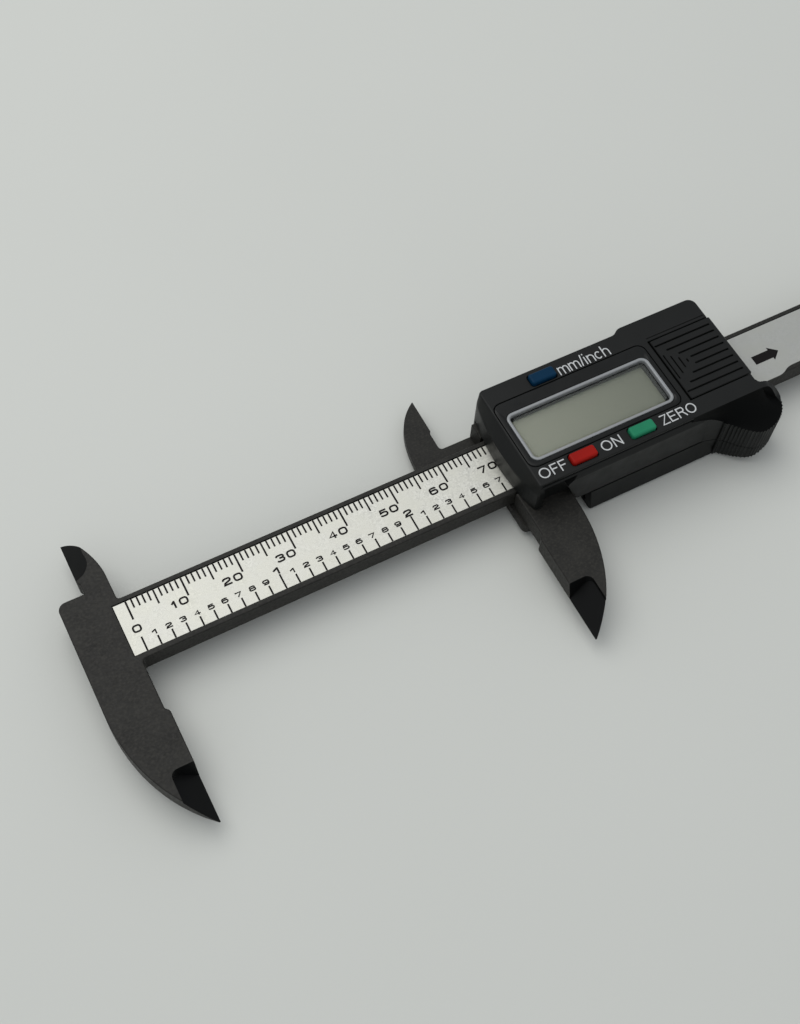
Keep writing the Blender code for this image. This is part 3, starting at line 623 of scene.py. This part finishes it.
def shell_section(z, edge):
    """Plan of the front shell at a height, with its outline moved in by the edge rounding."""
    slope = min(1.0, max(0.0, (z - 4.9) / (TOP - 4.9)))
    wall = grip_side(z)
    plate = steps_between([(SEAM, LOW), (5.2, LOW + 0.08), (6.3, -10.55), (7.5, -10.5)], z)
    groove = 0.35 if 6.3 <= z <= 6.8 else 0.0
    points = [(1.9 + 0.3 * slope, plate + 0.25), (2.3 + 0.3 * slope, plate)]
    points += [(3.0, wall + groove), (40.6, wall + groove), (41.4, plate), (48.3, plate), (48.8, plate + 0.2)]
    points += [(END, plate + 0.65)]
    points += arc((END - 1.6, HIGH_STEP - 1.6), 1.6, 0, 90, 8)
    points += bezier((33.0, HIGH_STEP), (31.6, HIGH_STEP), (31.8, HIGH), (30.4, HIGH), 8)
    points += [(2.9, HIGH), (2.2 + 0.3 * slope, HIGH - 0.2), (1.8 + 0.4 * slope, HIGH - 0.7)]
    low_end, high_end = -9.7, HIGH - 1.6
    middle = (low_end + high_end) / 2
    for step in range(13):
        y = high_end + (low_end - high_end) * step / 12
        bow = 1 - ((y - middle) / (high_end - middle)) ** 2
        points.append((1.55 - 1.1 * bow + slope * (0.7 + 1.2 * bow), y))
    return flat(inset(on_slider(points), edge), z)


def evenly(points, pitch):
    """Points thinned out to about one per pitch."""
    route = [points[0]]
    walked = 0.0
    for here, there in zip(points, points[1:]):
        walked += math.dist(here, there)
        if walked >= pitch:
            route.append(there)
            walked = 0.0
    return route


def grip_wall():
    """Plan of the thumb grip's outer wall, without its ribs, from the side wall to the housing's end."""
    fine = 160
    flare = bezier((34.2, -10.55), (37.0, -10.75), (39.4, -11.1), (40.9, -11.75), 12)
    lobe = bezier((40.9, -11.75), (43.0, -14.0), (44.9, -16.7), (46.9, -16.7), fine)
    lobe += bezier((46.9, -16.7), (50.2, -16.7), (53.35, -14.0), (53.35, -12.2), fine)[1:]
    end = bezier((53.35, -12.2), (53.35, -10.5), (51.6, -9.3), (49.7, -9.25), fine)[1:]
    end += bezier((49.7, -9.25), (49.25, -9.2), (48.97, -8.9), (48.9, -8.4), 8)[1:]
    return flare, lobe, end


def ribbed_outline():
    """The same wall with its upright ribs, closed inside the housing."""
    flare, lobe, end = grip_wall()
    ribs = evenly(lobe, RIB_PITCH / 4)
    points = flare[:-1]
    for index, here in enumerate(ribs):
        ahead = Vector(ribs[min(index + 1, len(ribs) - 1)])
        behind = Vector(ribs[max(index - 1, 0)])
        along = (ahead - behind).normalized()
        depth = RIB_DEPTH * (0.0, 0.8, 1.0, 0.8)[index % 4] if index > 3 else (0.0, -0.3, -0.3, 0.0)[index]
        points.append((here[0] - along.y * depth, here[1] + along.x * depth))
    return on_slider(points + evenly(end, 0.35)[1:] + [(47.0, -8.4), (34.2, -9.9)])


def crest():
    """The rim that climbs from the grip's lip to the top plate: (outer point, inner point, height)."""
    _, lobe, end = grip_wall()
    route = evenly([p for p in lobe if p[0] > 52 and p[1] > -13.3] + end, 0.3)
    climb = [(-13.4, GRIP_LIP), (-12.2, 3.4), (-11.2, 4.35), (-10.3, 5.5), (-9.65, 6.6), (-9.3, 7.4)]
    climb += [(-9.2, TOP + 0.05)]
    widths = [(-13.3, 0.0), (-12.2, 0.55), (-11.2, 1.1), (-10.3, 1.35), (-9.2, 1.25)]
    rim = []
    for before, here, after in zip(route, route[1:], route[2:]):
        if here[0] < 49.5:
            break
        along = (Vector(after) - Vector(before)).normalized()
        width = steps_between(widths, here[1])
        inner = Vector((here[0] - along.y * width, here[1] + along.x * width))
        rim.append((Vector(here), inner, steps_between(climb, here[1])))
    return rim


def lofted_rows(lows):
    """A closed cutter standing on rows of (x, y, z) points and reaching above the housing."""
    shape = bmesh.new()
    feet = [[shape.verts.new(at((OPENING + x, y, z))) for x, y, z in row] for row in lows]
    heads = [[shape.verts.new(at((OPENING + x, y, TOP + 1.5))) for x, y, z in row] for row in lows]
    count = len(lows[0])
    for low, low_next, high, high_next in zip(feet, feet[1:], heads, heads[1:]):
        for i in range(count - 1):
            shape.faces.new((low[i], low_next[i], low_next[i + 1], low[i + 1]))
            shape.faces.new((high[i], high[i + 1], high_next[i + 1], high_next[i]))
        shape.faces.new((low[0], high[0], high_next[0], low_next[0]))
        shape.faces.new((low[-1], low_next[-1], high_next[-1], high[-1]))
    for low, high in ((feet[0], heads[0]), (feet[-1], heads[-1])):
        for i in range(count - 1):
            shape.faces.new((low[i], low[i + 1], high[i + 1], high[i]))
    bmesh.ops.recalc_face_normals(shape, faces=shape.faces[:])
    return shape


def scoop_cutter():
    """Everything above the grip's dished top, from its rim up to the top plate's edge."""
    flare, lobe, _ = grip_wall()
    heights = [(34.2, 6.15), (35.2, 5.85), (38.3, 5.0), (40.5, 3.6), (41.4, GRIP_LIP), (60.0, GRIP_LIP)]
    across = [(34.2, 34.2), (41.0, 40.6), (46.9, 44.6), (51.0, 47.6), (53.36, END)]
    columns = []
    for x, y in flare[:-1] + evenly([p for p in lobe if p[0] < 52 or p[1] < -13.3], 0.4):
        inner = Vector((steps_between(across, x), -10.42))
        columns.append((Vector((x, y)), inner, steps_between(heights, x), 1.2))
    climb = crest()
    for index, (_, start, z) in enumerate(climb):
        inner = Vector((END + 0.2 * index / len(climb), -10.42))
        columns.append((start, inner, min(z, TOP), 0.02))
    steps = 14
    rows = []
    for start, inner, rim, beyond in columns:
        outward = (start - inner).normalized() * beyond
        row = [(start.x + outward.x, start.y + outward.y, rim)]
        for step in range(steps + 1):
            t = step / steps
            point = start.lerp(inner, t)
            row.append((point.x, point.y, rim + (TOP - 0.05 - rim) * t ** 2.4))
        rows.append(row)
    return lofted_rows(rows)


def crest_cutter():
    """Everything above the rim that climbs to the top plate."""
    rows = []
    for outer, inner, z in crest():
        across = outer - inner
        way = across.normalized() if across.length > 0.05 else Vector((1.0, 0.0))
        near, far = inner - way * 0.06, outer + way * 1.2
        rows.append([(near.x, near.y, z), (outer.x, outer.y, z - 0.05), (far.x, far.y, z - 0.4)])
    return lofted_rows(rows)


def make_front_shell():
    heights = [(SEAM, 0.12), (SEAM + 0.12, 0.0)]
    heights += [(z, 0.0) for z in (4.4, 4.9, 5.2, 5.7, 6.2, 6.3, 6.35, 6.78, 6.82, 7.2)]
    heights += [(7.33, 0.04), (7.44, 0.13), (TOP, 0.3)]
    sections = [shell_section(z, edge) for z, edge in heights]
    shell = make("front_shell", loft(sections), (SHELL_BLACK, SCOOP_SHADE_BLACK))
    join(shell, prism(ribbed_outline(), SEAM, TOP))
    combine(shell, [crest_cutter()], "DIFFERENCE", tangled=True)
    # The dish takes the second material, near-black as painted shade in the grip's hollow.
    combine(shell, [dark(scoop_cutter())], "DIFFERENCE", tangled=True)
    inner = TOP - PLATE
    carve(shell,
          slider_block(3.1, 47.9, RECESS_BACK + WALL, HIGH - WALL, SEAM - 1, inner),
          slider_block(9.3, 47.9, LOW + 1.1, HIGH - WALL - 0.1, SEAM - 1, inner - 0.02))
    carve(shell,
          slider_block(-1.0, 50.5, -9.5, 10.4, SEAM - 1, 0.3),
          slider_block(-1.0, 9.85, LOW - 1, RECESS_BACK + 0.1, SEAM - 1, 0.3),
          slider_block(-1.0, 11.0, RECESS_BACK, RECESS_BACK + WALL + 0.5, SEAM - 1, 0.3),
          slider_block(47.0, 52.0, COVER[0].y - 0.15, COVER[1].y + 0.15, 1.3, TOP + 1))
    seat = SURROUND[0].z - 0.1
    pocket = round_rectangle(SURROUND[0].x - 0.14, SURROUND[1].x + 0.14,
                             SURROUND[0].y - 0.14, SURROUND[1].y + 0.14, 1.7)
    window = round_rectangle(TRIM[0].x + 0.9, TRIM[1].x - 1.15, TRIM[0].y + 0.9, TRIM[1].y - 1.0, 0.5)
    cover_pocket = rectangle(COVER[0].x - 0.25, COVER[1].x + 2, COVER[0].y - 0.2, COVER[1].y + 0.15)
    opening = rectangle(COVER[0].x + 0.4, COVER[1].x + 2, COVER[0].y + LEDGE, COVER[1].y - LEDGE)
    holes = []
    for node in BUTTONS:
        low, high = box(node)
        hole = round_rectangle(low.x - 0.14, high.x + 0.14, low.y - 0.14, high.y + 0.14, 0.55)
        holes.append(flared(hole, inner - 1, TOP, 0.1))
    carve(shell,
          flared(pocket, seat, TOP, 0.06),
          prism(window, inner - 1, TOP + 1),
          flared(cover_pocket, COVER_UNDER - 0.1, TOP, 0.08),
          prism(opening, inner - 1, TOP + 1),
          block(COVER[0].x - 0.1, OPENING + 48.5, COVER[1].y + 0.7, COVER[1].y + 0.84, TOP - 0.2, TOP + 1),
          *holes)
    jaw_opening = [(3.2, SEAM - 1), (11.6, SEAM - 1), (11.0, -2.0), (8.1, 4.0), (10.0, 5.9), (3.2, 5.9)]
    carve(shell, side_prism([(OPENING + u, z) for u, z in jaw_opening], LOW - 1, RECESS_BACK))
    finish_piece(shell, "slider", ["front_housing"])


# The rear shell

def make_rear_shell():
    start = 13.9
    top = SEAM - 0.15
    low_top, low_foot = -11.05, -12.05
    high = HIGH - 0.05
    profile = [(low_foot + 0.6, REST), (high - 0.7, REST)]
    for turn in (0.4, 0.8, 1.2, 1.5708):
        profile.append((high - 0.7 + 0.7 * math.sin(turn), REST + 0.7 - 0.7 * math.cos(turn)))
    profile += [(high, top), (low_top, top), (low_foot, REST + 0.6), (low_foot + 0.2, REST + 0.2)]
    ends = [(start, 0.25), (start + 0.08, 0.1), (start + 0.25, 0.0), (48.7, 0.0), (48.87, 0.1), (END, 0.25)]
    sections = [[(OPENING + x, y, z) for y, z in inset(profile, edge)] for x, edge in ends]
    shell = make("rear_shell", loft(sections), (SHELL_BLACK,))
    join(shell, prism(ribbed_outline(), REST + 0.4, top))
    underside = [(41.0, REST - 1), (56.0, REST - 1), (56.0, -4.5), (48.5, -4.8), (41.0, REST + 0.4)]
    carve(shell,
          side_prism([(OPENING + u, z) for u, z in underside], -20.0, low_foot),
          slider_block(start - 1, 47.7, low_top + 1.1, high - 1.0, FRAME_REAR - 0.1, top + 1),
          slider_block(start - 1, 50.0, -9.5, 10.4, FRAME_REAR - 0.1, top + 1),
          slider_block(start - 1, 60.0, -HALF_BEAM - 0.3, 6.5, FRAME_REAR - 0.1, top + 1))
    hole = [(1.6, REST - 1), (1.6, REST + 0.02), (1.5, REST + 0.12), (1.5, REST + 0.5)]
    hole += [(0.95, REST + 0.5), (0.95, FRAME_BACK)]
    holes = []
    for index in range(1, 5):
        near, far = box(f"rear_screw_{index}")
        holes.append(turned(((near.x + far.x) / 2, (near.y + far.y) / 2), hole))
    carve(shell, *holes)
    finish_piece(shell, "slider", ["rear_housing"])


# Battery cover, buttons and display

def cover_grooves():
    """Long finger grooves, stepped in to a point, and the short nested ones before it."""
    middle, pitch = 0.38, 1.575
    left, right = COVER[0].x, COVER[1].x - 0.95
    shapes = []
    for index in range(-4, 4):
        row = index + 0.5
        y = middle + row * pitch
        shapes.append((left + 0.35 + (3.5 - abs(row)) * 1.6, right, y - 0.16, y + 0.16))
    for step, reach in enumerate((2.85, 2.1, 1.2, 0.35)):
        x = left + 0.72 + step * 1.16
        shapes.append((x - 0.12, x + 0.12, 0.75 - reach, 0.75 + reach))
    return [flared(round_rectangle(*shape, 0.1, 3), TOP - 0.42, TOP, 0.08) for shape in shapes]


def make_cover():
    x0, x1 = COVER[0].x + 0.17, COVER[1].x
    y0, y1 = COVER[0].y + 0.05, COVER[1].y
    hook = [(x0, COVER_UNDER), (x1 - 0.9, COVER_UNDER), (x1 - 0.9, COVER[0].z), (x1 - 0.1, COVER[0].z)]
    hook += [(x1, COVER[0].z + 0.1), (x1, TOP - 0.45), (x1 - 0.06, TOP - 0.2), (x1 - 0.2, TOP - 0.06)]
    hook += [(x1 - 0.45, TOP), (x0 + 0.12, TOP), (x0, TOP - 0.12)]
    sections = []
    for y, edge in ((y0, 0.14), (y0 + 0.14, 0.0), (y1 - 0.14, 0.0), (y1, 0.14)):
        sections.append([(x, y, z) for x, z in inset(hook, edge)])
    cover = make("battery_door", loft(sections), (SHELL_BLACK,))
    carve(cover, *cover_grooves())
    finish_piece(cover, "battery_cover", ["battery_cover"])


def make_buttons():
    for node, (slot, surface) in BUTTONS.items():
        low, high = box(node)
        outline = round_rectangle(low.x, high.x, low.y, high.y, 0.5)
        cap = make(node + "_cap", soft_prism(outline, low.z, high.z, 0.42, 0.05, 6), (surface,))
        finish_piece(cap, node, [node], 40.0)


def make_display():
    outline = round_rectangle(TRIM[0].x, TRIM[1].x, TRIM[0].y, TRIM[1].y, 1.5, 10)
    foot, top = TRIM[0].z, TRIM[1].z
    profile = [(0.0, foot), (0.0, top - 0.12), (0.04, top - 0.04), (0.12, top), (0.42, top)]
    profile += [(0.52, top - 0.04), (0.6, top - 0.14), (0.64, top - 0.3), (0.64, foot)]
    loops = [flat(inset(outline, depth), z) for depth, z in profile]
    trim = make("window_trim", loft(loops, rim=True), (TRIM_SILVER,))
    finish_piece(trim, "slider", ["display_trim"], 50.0)
    outer = round_rectangle(SURROUND[0].x, SURROUND[1].x, SURROUND[0].y, SURROUND[1].y, 1.6, 10)
    inner = round_rectangle(TRIM[0].x - 0.08, TRIM[1].x + 0.08, TRIM[0].y - 0.08, TRIM[1].y + 0.08, 1.6, 10)
    foot, top = SURROUND[0].z, SURROUND[1].z
    loops = [flat(outer, foot), flat(outer, top - 0.16), flat(inset(outer, 0.05), top - 0.05)]
    loops += [flat(inset(outer, 0.18), top), flat(inset(inner, -0.06), top), flat(inner, top - 0.06)]
    loops += [flat(inner, foot)]
    surround = make("window_surround", loft(loops, rim=True), (SURROUND_BLACK,))
    finish_piece(surround, "slider", ["display_surround"], 50.0)


# Printing: strokes laid as thin raised ink

class Ink:
    """Collects ribbons of ink on one surface; each lies a hair above the one before."""

    def __init__(self, z):
        self.z = z
        self.shape = bmesh.new()
        self.count = 0

    def ribbon(self, points, width, closed=False):
        lift = self.z + 0.012 + 0.0012 * (self.count % 9)
        self.count += 1
        total = len(points)
        left, right = [], []
        for index in range(total):
            here = Vector(points[index])
            before = Vector(points[index - 1]) if index or closed else None
            after = Vector(points[(index + 1) % total]) if index < total - 1 or closed else None
            a = (here - before).normalized() if before is not None else None
            b = (after - here).normalized() if after is not None else None
            a, b = a or b, b or a
            mitre = Vector((-a.y - b.y, a.x + b.x))
            shift = mitre * (width / max(mitre.length_squared, 1.2))
            left.append(here + shift)
            right.append(here - shift)
        layers = []
        for z in (self.z - 0.02, lift):
            layers.append([[self.shape.verts.new(at((p.x, p.y, z))) for p in side] for side in (left, right)])
        (foot_l, foot_r), (top_l, top_r) = layers
        last = total if closed else total - 1
        for i in range(last):
            j = (i + 1) % total
            self.shape.faces.new((top_r[i], top_r[j], top_l[j], top_l[i]))
            self.shape.faces.new((foot_l[i], foot_l[j], foot_r[j], foot_r[i]))
            self.shape.faces.new((foot_r[i], foot_r[j], top_r[j], top_r[i]))
            self.shape.faces.new((top_l[i], top_l[j], foot_l[j], foot_l[i]))
        if not closed:
            self.shape.faces.new((foot_r[0], top_r[0], top_l[0], foot_l[0]))
            self.shape.faces.new((foot_l[-1], top_l[-1], top_r[-1], foot_r[-1]))

    def glyph(self, strokes, place, size, width):
        """Strokes in a unit box, put at a place with a size, drawn with one line width."""
        w = Vector((width / size[0] / 2, width / size[1] / 2))
        for points, closed in strokes:
            laid = []
            for x, y in points:
                fx = w.x + x * (1 - 2 * w.x)
                fy = w.y + y * (1 - 2 * w.y)
                laid.append((place[0] + fx * size[0], place[1] + fy * size[1]))
            self.ribbon(laid, width, closed)

    def piece(self, name, body, slot, surface):
        bmesh.ops.recalc_face_normals(self.shape, faces=self.shape.faces[:])
        made = make(name, self.shape)
        made.data.materials.append(surface)
        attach(made, body)
        return made


def bar(*points):
    return (list(points), False)


def hoop(x0, x1, y0, y1, r):
    return (round_rectangle(x0, x1, y0, y1, r, 5), True)


def oval(cx, cy, rx, ry, start, end, steps=12):
    return [(cx + rx * x, cy + ry * y) for x, y in arc((0, 0), 1.0, start, end, steps)]


def sweep(*parts):
    """One open stroke from several pieces of line and curve."""
    points = []
    for part in parts:
        points += [p for p in part if not points or math.dist(points[-1], p) > 0.01]
    return (points, False)


def corner(x, y, r, start, end):
    return arc((x, y), r, start, end, 4)


# Wide square numerals: strokes in a unit box
WIDE = {
    "0": [hoop(0, 1, 0, 1, 0.34)],
    "1": [bar((0.0, 0.62), (0.62, 0.97)), bar((0.68, -0.12), (0.68, 1.12))],
    "2": [sweep([(0.03, 0.7)], corner(0.26, 0.76, 0.24, 180, 90), corner(0.74, 0.76, 0.24, 90, -60),
                [(0.14, 0.28), (0.03, 0.0), (1.1, 0.0)])],
    "3": [sweep([(0.02, 0.76)], corner(0.24, 0.76, 0.24, 150, 90), corner(0.76, 0.77, 0.23, 90, -90),
                [(0.35, 0.54)]),
          sweep([(0.35, 0.54)], corner(0.74, 0.27, 0.27, 90, -90), corner(0.26, 0.27, 0.27, -90, -160))],
    "4": [sweep([(0.74, -0.12), (0.74, 1.0), (0.02, 0.27), (1.1, 0.27)])],
    "5": [sweep([(1.0, 1.0), (0.14, 1.0), (0.06, 0.52), (0.3, 0.62)], corner(0.72, 0.31, 0.31, 90, -90),
                corner(0.26, 0.27, 0.27, -90, -160))],
    "6": [hoop(0, 1, 0, 0.6, 0.28), sweep([(0.0, 0.3), (0.0, 0.66)], corner(0.3, 0.7, 0.3, 180, 90),
                                          corner(0.72, 0.74, 0.26, 90, 25))],
    "7": [sweep([(-0.1, 1.0), (1.0, 1.0), (0.3, -0.1)])],
    "8": [hoop(0.05, 0.95, 0.53, 1, 0.22), hoop(0, 1, 0, 0.53, 0.25)],
    "9": [hoop(0, 1, 0.4, 1, 0.28), sweep([(1.0, 0.7), (1.0, 0.34)], corner(0.7, 0.3, 0.3, 0, -90),
                                          corner(0.28, 0.26, 0.26, -90, -155))],
}

ARCH = sweep([(0, 0.4)], oval(0.5, 0.42, 0.5, 0.26, 165, 10), [(1.0, 0.4), (1.0, -0.07)])

# Plain sans letters: strokes, then width and following gap as parts of the capital height
PLAIN = {
    "O": ([(arc((0.5, 0.5), 0.5, 0, 348.75, 31), True)], 0.98, 0.16),
    "F": ([bar((0, -0.07), (0, 1.07)), bar((0, 1), (1.07, 1)), bar((0, 0.52), (0.92, 0.52))], 0.66, 0.13),
    "N": ([bar((0, -0.07), (0, 1.07)), bar((0.0, 1.0), (1.0, 0.0)), bar((1, -0.07), (1, 1.07))], 0.8, 0.2),
    "Z": ([sweep([(0.02, 1), (1.0, 1.0), (0.0, 0.0), (1.08, 0)])], 0.78, 0.13),
    "E": ([bar((0, -0.07), (0, 1.07)), bar((0, 1), (1.07, 1)), bar((0, 0.53), (1, 0.53)),
           bar((0, 0), (1.09, 0))], 0.72, 0.17),
    "R": ([bar((0, -0.07), (0, 1.07)),
           sweep([(0, 1), (0.6, 1)], arc((0.66, 0.765), 0.235, 80, -80, 8), [(0.6, 0.53), (0, 0.53)]),
           sweep([(0.45, 0.53)], bezier((0.6, 0.5), (0.72, 0.4), (0.8, 0.3), (1.02, -0.05), 5))], 0.84, 0.12),
    "m": ([bar((0, -0.07), (0, 0.74)),
           sweep([(0, 0.4)], oval(0.25, 0.44, 0.25, 0.24, 165, 10), [(0.5, 0.4), (0.5, -0.07)]),
           sweep([(0.5, 0.4)], oval(0.75, 0.44, 0.25, 0.24, 165, 10), [(1.0, 0.4), (1.0, -0.07)])],
          0.89, 0.1),
    "n": ([bar((0, -0.07), (0, 0.74)), ARCH], 0.58, 0.1),
    "h": ([bar((0, -0.07), (0, 1.07)), ARCH], 0.58, 0.2),
    "i": ([bar((0.5, -0.07), (0.5, 0.74)), bar((0.5, 0.94), (0.5, 1.07))], 0.12, 0.14),
    "c": ([(oval(0.5, 0.34, 0.5, 0.34, 42, 318, 18), False)], 0.56, 0.13),
    "/": ([bar((0.0, -0.07), (1.0, 1.07))], 0.3, 0.1),
}


def write(ink, text, x0, x1, baseline, height, width):
    """A word in plain letters, spread to fill the given length."""
    natural = sum(PLAIN[letter][1] + PLAIN[letter][2] for letter in text) - PLAIN[text[-1]][2]
    scale = (x1 - x0) / natural
    x = x0
    for letter in text:
        strokes, wide, gap = PLAIN[letter]
        ink.glyph(strokes, (x, baseline), (wide * scale, height), width)
        x += (wide + gap) * scale


def make_scale():
    """Millimetre scale along the upper edge and tenths of an inch along the lower one."""
    ink = Ink(LABEL[1].z)
    for mark in range(101):
        x = SCALE_ZERO + mark
        foot = 1.3 if mark % 10 == 0 else 2.15 if mark % 5 == 0 else 3.25
        ink.ribbon([(x, foot), (x, SCALE_EDGE)], LONG_TICK if mark % 10 == 0 else TICK)
        if mark % 10 == 0:
            size = (1.62, 1.5)
            right = x - 0.32 if mark else x + 0.72
            base = 0.03 if mark else -1.25
            for digit in reversed(str(mark)):
                wide = size[0] if digit != "1" else 1.1
                right -= wide
                ink.glyph(WIDE[digit], (right, base), (wide, size[1]), NUMERAL)
                right -= 0.4
    tenth = 2.54
    for mark in range(41):
        x = SCALE_ZERO + mark * tenth
        whole = mark % 10 == 0
        head = (-1.95 if mark else -2.2) if whole else -3.15
        ink.ribbon([(x, -SCALE_EDGE), (x, head)], TICK)
        digit = str(mark // 10 if whole else mark % 10)
        if whole and mark:
            ink.glyph(WIDE[digit], (x - 0.95, -1.9), (1.62, 1.42), NUMERAL)
        elif mark:
            ink.glyph(WIDE[digit], (x - 0.8, -2.84), (1.22, 1.0), SMALL_NUMERAL)
    ink.piece("scale_printing", "beam", "label", SCALE_INK)


def make_lettering():
    """The keys' names on the top plate."""
    ink = Ink(TOP)
    write(ink, "mm/inch", OPENING + 17.5, OPENING + 28.3, 8.1, 2.38, SMALL_WORD)
    for word, start, end in (("OFF", 3.27, 8.75), ("ON", 15.95, 20.05), ("ZERO", 28.35, 35.75)):
        write(ink, word, OPENING + start, OPENING + end, WORD_BASE, WORD_HEIGHT, WORD)
    ink.piece("key_lettering", "slider", "trim", LETTER_INK)


def make_tail_label():
    """White film over the beam's tail; near the housing it laps over the lower rim."""
    start, end = TAIL[0].x, TAIL[1].x
    lap, rim = -6.25, -5.2
    low = [(start, lap + 0.15), (start + 0.3, lap), (start + 7.2, lap)]
    low += bezier((start + 7.6, lap), (start + 9.6, lap + 0.1), (start + 9.4, rim), (start + 11.6, rim), 10)
    outline = low + [(end, rim), (end, 5.0), (start, 5.0)]
    film = make("tail_film", soft_prism(outline, -0.02, 0.1, 0.03, 0.02, 2), (TAIL_WHITE,))
    finish_piece(film, "beam", ["tail_label"], 60.0)
    ink = Ink(0.1)
    tail, neck, tip = start + 5.1, start + 9.0, start + 10.8
    middle = -1.35
    shaft, head = 0.95, 1.55
    ink.ribbon([(tail, middle), (neck + 0.3, middle)], shaft * 2)
    arrow = [(neck, middle - head), (tip, middle), (neck, middle + head)]
    rings = [[ink.shape.verts.new(at((x, y, z))) for x, y in arrow] for z in (0.08, 0.1165)]
    ink.shape.faces.new(rings[1])
    ink.shape.faces.new(list(reversed(rings[0])))
    for i in range(3):
        j = (i + 1) % 3
        ink.shape.faces.new((rings[0][i], rings[0][j], rings[1][j], rings[1][i]))
    ink.piece("tail_arrow", "beam", "label", SCALE_INK)


# Nodes that keep their CAD shape

def dress_nodes():
    """Finer materials on the nodes that nothing replaces; the screws and the cell are steel."""
    looks = {
        "scale_label": LABEL_SILVER, "scale_circuit": COPPER, "beam_end_stop": COMPOSITE,
        "depth_rod": COMPOSITE, "display_lens": lens_surface(), "display_panel": display_surface(),
        "circuit_board": BOARD_GREEN, "controller_chip": CHIP_BLACK,
    }
    rubber = ("zebra_strip_1", "zebra_strip_2", "mode_switch", "power_switch", "zero_switch")
    looks.update(dict.fromkeys(rubber, SILICONE))
    looks.update(dict.fromkeys(("gib_spring", "battery_contact", "battery_side_contact"), BRONZE))
    for name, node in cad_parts.items():
        surface = looks.get(name, STEEL)
        node.data.materials.clear()
        node.data.materials.append(surface)


# Stage, light and camera

def make_stage():
    size = 3.0
    shape = bmesh.new()
    corners = [shape.verts.new((x, y, -0.00002)) for x, y in rectangle(-size, size, -size, size)]
    shape.faces.new(corners)
    floor = make("floor", shape)
    paper = Surface("pale_floor", (0.60, 0.61, 0.575), 0.6, specular=0.25)
    cloud = paper.spread(paper.noise(120.0, 2.0), 0.0, 1.0)
    paper.colour(paper.mix(cloud, (0.595, 0.605, 0.57), (0.61, 0.62, 0.585)))
    floor.data.materials.append(paper.bump(paper.noise(0.8, 2.0), 0.004).material)


def make_lights():
    """One large soft lamp overhead and an even pale surround."""
    light = bpy.data.lights.new("ceiling_panel", "AREA")
    light.shape = "DISK"
    light.size = LAMP_SIZE
    light.energy = LAMP_POWER
    light.color = LAMP_COLOUR
    lamp = bpy.data.objects.new("ceiling_panel", light)
    bpy.context.scene.collection.objects.link(lamp)
    away = Vector(LAMP_FROM).normalized()
    lamp.location = at((50, 0, 0)) + away * LAMP_DISTANCE
    lamp.rotation_mode = "QUATERNION"
    lamp.rotation_quaternion = away.to_track_quat("Z", "Y")
    world = bpy.data.worlds.new("studio")
    world.use_nodes = True
    sky = world.node_tree.nodes["Background"]
    sky.inputs["Color"].default_value = SKY_COLOUR
    sky.inputs["Strength"].default_value = SKY_STRENGTH
    bpy.context.scene.world = world
    bpy.context.scene.view_settings.view_transform = "Standard"


def make_camera():
    """Above the fixed jaw's end, looking down at the display across the beam."""
    elevation, azimuth, roll = (math.radians(d) for d in (CAMERA_ELEVATION, CAMERA_AZIMUTH, CAMERA_ROLL))
    back = Vector((math.sin(azimuth) * math.cos(elevation), -math.cos(azimuth) * math.cos(elevation),
                   math.sin(elevation)))
    level = Vector((math.cos(azimuth), math.sin(azimuth), 0))
    upright = back.cross(level)
    right = level * math.cos(roll) + upright * math.sin(roll)
    up = upright * math.cos(roll) - level * math.sin(roll)
    data = bpy.data.cameras.new("camera")
    data.lens = LENS
    data.sensor_width = SENSOR
    data.clip_start = 0.01
    camera = bpy.data.objects.new("camera", data)
    bpy.context.scene.collection.objects.link(camera)
    place = at(Vector(CAMERA_TARGET) + back * CAMERA_DISTANCE)
    camera.matrix_world = Matrix.Translation(place) @ Matrix((right, up, back)).transposed().to_4x4()
    bpy.context.scene.camera = camera


make_beam()
make_frame()
make_front_shell()
make_rear_shell()
make_cover()
make_buttons()
make_display()
make_scale()
make_lettering()
make_tail_label()
dress_nodes()
make_stage()
make_lights()
make_camera()
